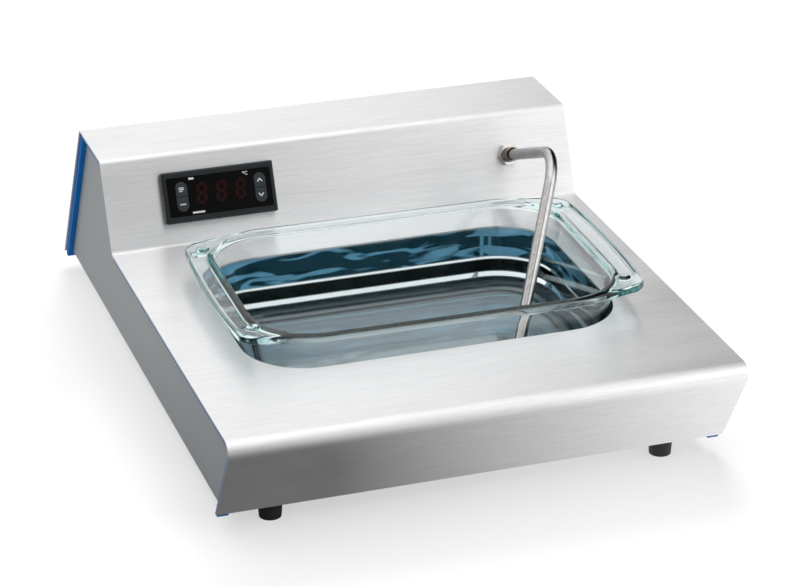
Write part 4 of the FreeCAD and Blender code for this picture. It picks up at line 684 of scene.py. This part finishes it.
def digitOutlines(look, centre):
    # The seven bars of a digit, leaning to the right
    right, top = look["width"] / 2 - look["stroke"] / 2, look["height"] / 2 - look["stroke"] / 2
    left, bottom = -right, -top
    bars = [((left, top), (right, top)), ((left, 0), (right, 0)), ((left, bottom), (right, bottom)),
            ((left, 0), (left, top)), ((right, 0), (right, top)), ((left, bottom), (left, 0)),
            ((right, bottom), (right, 0))]
    outlines = []
    for start, end in bars:
        way = np.array(end, float) - np.array(start, float)
        way /= np.linalg.norm(way)
        gap = way * look["gap"]
        points = segment(np.array(start) + gap, np.array(end) - gap, look["stroke"])
        outlines.append([(centre[0] + x + look["slant"] * y, centre[1] + y) for x, y in points])
    return outlines


def makeRowTree(name):
    # A row of copies of the object's own mesh, with the number, first place, step and finish as inputs
    tree = bpy.data.node_groups.new(name, "GeometryNodeTree")
    kinds = {"Geometry": "NodeSocketGeometry", "Count": "NodeSocketInt", "First": "NodeSocketVector",
             "Step": "NodeSocketVector", "Finish": "NodeSocketMaterial"}
    for label, kind in kinds.items():
        tree.interface.new_socket(label, in_out="INPUT", socket_type=kind)
    tree.interface.new_socket("Geometry", in_out="OUTPUT", socket_type="NodeSocketGeometry")
    given = tree.nodes.new("NodeGroupInput")
    row = tree.nodes.new("GeometryNodeMeshLine")
    copies = tree.nodes.new("GeometryNodeInstanceOnPoints")
    real = tree.nodes.new("GeometryNodeRealizeInstances")
    finish = tree.nodes.new("GeometryNodeSetMaterial")
    result = tree.nodes.new("NodeGroupOutput")
    link(tree, given.outputs["Count"], row.inputs["Count"])
    link(tree, given.outputs["First"], row.inputs["Start Location"])
    link(tree, given.outputs["Step"], row.inputs["Offset"])
    link(tree, row.outputs["Mesh"], copies.inputs["Points"])
    link(tree, given.outputs["Geometry"], copies.inputs["Instance"])
    link(tree, copies.outputs["Instances"], real.inputs["Geometry"])
    link(tree, real.outputs["Geometry"], finish.inputs["Geometry"])
    link(tree, given.outputs["Finish"], finish.inputs["Material"])
    link(tree, finish.outputs["Geometry"], result.inputs["Geometry"])
    return tree


def repeatInRow(item, tree, values):
    # Runs the tree on the object and keeps the result as the object's plain mesh
    modifier = item.modifiers.new("row", "NODES")
    modifier.node_group = tree
    for socket in tree.interface.items_tree:
        if socket.in_out == "INPUT" and socket.name in values:
            modifier[socket.identifier] = values[socket.name]
    graph = bpy.context.evaluated_depsgraph_get()
    mesh = bpy.data.meshes.new_from_object(item.evaluated_get(graph))
    item.modifiers.remove(modifier)
    item.data = mesh


windowFace = facePlace("controller_window")
firstDigit = digitOutlines(digitSet, digitSet["first"])
display = plates("display_digits", firstDigit, digitRed, Matrix.Identity(4))
repeatInRow(display, makeRowTree("row"), {"Count": digitSet["count"], "First": (0.0, 0.0, 0.0),
                                          "Step": (digitSet["pitch"] * mm, 0.0, 0.0), "Finish": digitRed})
display.data.transform(windowFace)
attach(display, "housing")


def arcBand(centre, radius, width, start, end, count):
    # An open ring of even width between two angles
    angles = np.radians(np.linspace(start, end, count))
    outer, inner = radius + width / 2, radius - width / 2
    outside = [(centre[0] + outer * math.cos(angle), centre[1] + outer * math.sin(angle)) for angle in angles]
    inside = [(centre[0] + inner * math.cos(angle), centre[1] + inner * math.sin(angle)) for angle in angles]
    return outside + inside[::-1]


unitMark = [arcBand((17.0, 10.9), 0.55, 0.3, 0, 350, 18), arcBand((19.0, 10.3), 1.0, 0.4, 50, 310, 14)]
unit = plates("unit_mark", unitMark, whiteInk, windowFace)
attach(unit, "housing")


def bar(x0, y0, x1, y1, width):
    start, end = np.array((x0, y0), float), np.array((x1, y1), float)
    way = (end - start) / np.linalg.norm(end - start)
    side = np.array((-way[1], way[0])) * width / 2
    return [start + side, start - side, end - side, end + side]


windowDashes = [bar(-19.4, 11.0, -16.0, 11.0, 1.3), bar(-19.3, -10.9, -11.3, -10.9, 1.2)]
dashes = plates("window_dashes", windowDashes, whiteInk, windowFace)
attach(dashes, "housing")

symbols = {
    "key_set": [bar(-1.7, 0.9, 1.7, 0.9, 0.55), bar(-1.7, -0.2, 1.7, -0.2, 0.55),
                bar(-1.7, -1.3, 0.6, -1.3, 0.55)],
    "key_menu": [bar(-1.8, 0, -0.6, 0, 0.9), bar(-0.3, 0, 0.6, 0, 0.9), bar(0.9, 0, 1.8, 0, 0.9)],
    "key_up": [[(-1.9, -0.9), (-1.25, -1.35), (0, 0.15), (1.25, -1.35), (1.9, -0.9), (0, 1.25)]],
    "key_down": [[(-1.9, 0.9), (0, -1.25), (1.9, 0.9), (1.25, 1.35), (0, -0.15), (-1.25, 1.35)]],
}
for node, outlines in symbols.items():
    mark = plates(node + "_mark", outlines, whiteInk, facePlace(node))
    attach(mark, node)
print("controller marked")


# Floor, whose mirror image is darker towards the front left

floorSet = {"size": 12.0, "color": (0.92, 0.92, 0.925), "side": (-0.08, 0.2), "levels": (0.14, 1.25),
            "depth": (-0.12, 0.1), "backLevel": 0.6, "whiteShare": 0.55}
floorMaterial, tree, shader = newMaterial("floor")
setShader(shader, color=floorSet["color"], roughness=0.9, specular=0.1)
side, depth, _ = splitAxes(tree, objectPlace(tree))
mirrorLevel = mixNumbers(tree, remap(tree, depth, floorSet["depth"]),
                         remap(tree, side, floorSet["side"], floorSet["levels"]), floorSet["backLevel"])
mirrored = addNode(tree, "ShaderNodeEmission")
link(tree, mirrorLevel, mirrored.inputs["Strength"])
white = addNode(tree, "ShaderNodeEmission", {"Strength": 1.0})
rays = addNode(tree, "ShaderNodeLightPath")
share = calculate(tree, "MULTIPLY", seenPlainly(tree, rays), floorSet["whiteShare"])
paled = mixShaders(tree, share, shader.outputs["BSDF"], white.outputs["Emission"])
floorShader = mixShaders(tree, rays.outputs["Is Glossy Ray"], paled, mirrored.outputs["Emission"])
link(tree, floorShader, tree.nodes["Material Output"].inputs["Surface"])
half = floorSet["size"] / 2
floor = newObject("floor", [(-half, -half, 0), (half, -half, 0), (half, half, 0), (-half, half, 0)],
                  [(0, 1, 2, 3)], floorMaterial, smooth=False)


# Studio light: a pale surround, darker low at the front left and far round at the back right

surround = {
    "frontSide": (0.25, 0.37), "frontLevels": (0.35, 1.9),
    "lowHeight": (0.02, 0.3), "lowShares": (0.45, 1.0),
    "backSide": (0.34, 0.385), "backLevels": (1.15, 0.0),
    "backHeight": (0.25, 0.45), "backShares": (0.6, 1.0), "frontToBack": (-0.35, 0.15),
    "overhead": (0.7, 0.92), "overheadSide": (0.33, 0.4), "overheadLevels": (1.7, 0.3),
}
world = bpy.data.worlds.new("studio")
bpy.context.scene.world = world
world.use_nodes = True
tree = world.node_tree
tree.nodes.clear()
side, depth, height = splitAxes(tree, addNode(tree, "ShaderNodeTexCoord").outputs["Generated"])
frontLevel = remap(tree, side, surround["frontSide"], surround["frontLevels"])
lowShare = remap(tree, height, surround["lowHeight"], surround["lowShares"])
backLevel = remap(tree, side, surround["backSide"], surround["backLevels"])
backShare = remap(tree, height, surround["backHeight"], surround["backShares"])
around = mixNumbers(tree, remap(tree, depth, surround["frontToBack"]),
                    calculate(tree, "MULTIPLY", frontLevel, lowShare),
                    calculate(tree, "MULTIPLY", backLevel, backShare))
overhead = remap(tree, side, surround["overheadSide"], surround["overheadLevels"])
level = mixNumbers(tree, remap(tree, height, surround["overhead"]), around, overhead)
lit = addNode(tree, "ShaderNodeBackground", {"Color": (1, 1, 1, 1)})
link(tree, level, lit.inputs["Strength"])
plain = addNode(tree, "ShaderNodeBackground", {"Color": (1, 1, 1, 1), "Strength": 1.0})
rays = addNode(tree, "ShaderNodeLightPath")
sky = mixShaders(tree, seenPlainly(tree, rays), lit.outputs["Background"], plain.outputs["Background"])
out = addNode(tree, "ShaderNodeOutputWorld")
link(tree, sky, out.inputs["Surface"])

# Light paths are long enough to come out of the thick glass rim again
pathSet = {"max_bounces": 24, "glossy_bounces": 16, "transmission_bounces": 24}
for name, limit in pathSet.items():
    setattr(bpy.context.scene.cycles, name, limit)

lampSet = {"place": (0.5, 1.3, 1.9), "size": 1.1, "power": 26.0}
lampData = bpy.data.lights.new("softbox", "AREA")
lampData.size = lampSet["size"]
lampData.energy = lampSet["power"]
lamp = bpy.data.objects.new("softbox", lampData)
lamp.visible_glossy = False
lamp.visible_transmission = False
lamp.location = lampSet["place"]
lamp.rotation_euler = (-Vector(lampSet["place"])).to_track_quat("-Z", "Y").to_euler()
bpy.context.scene.collection.objects.link(lamp)
print("studio lit")
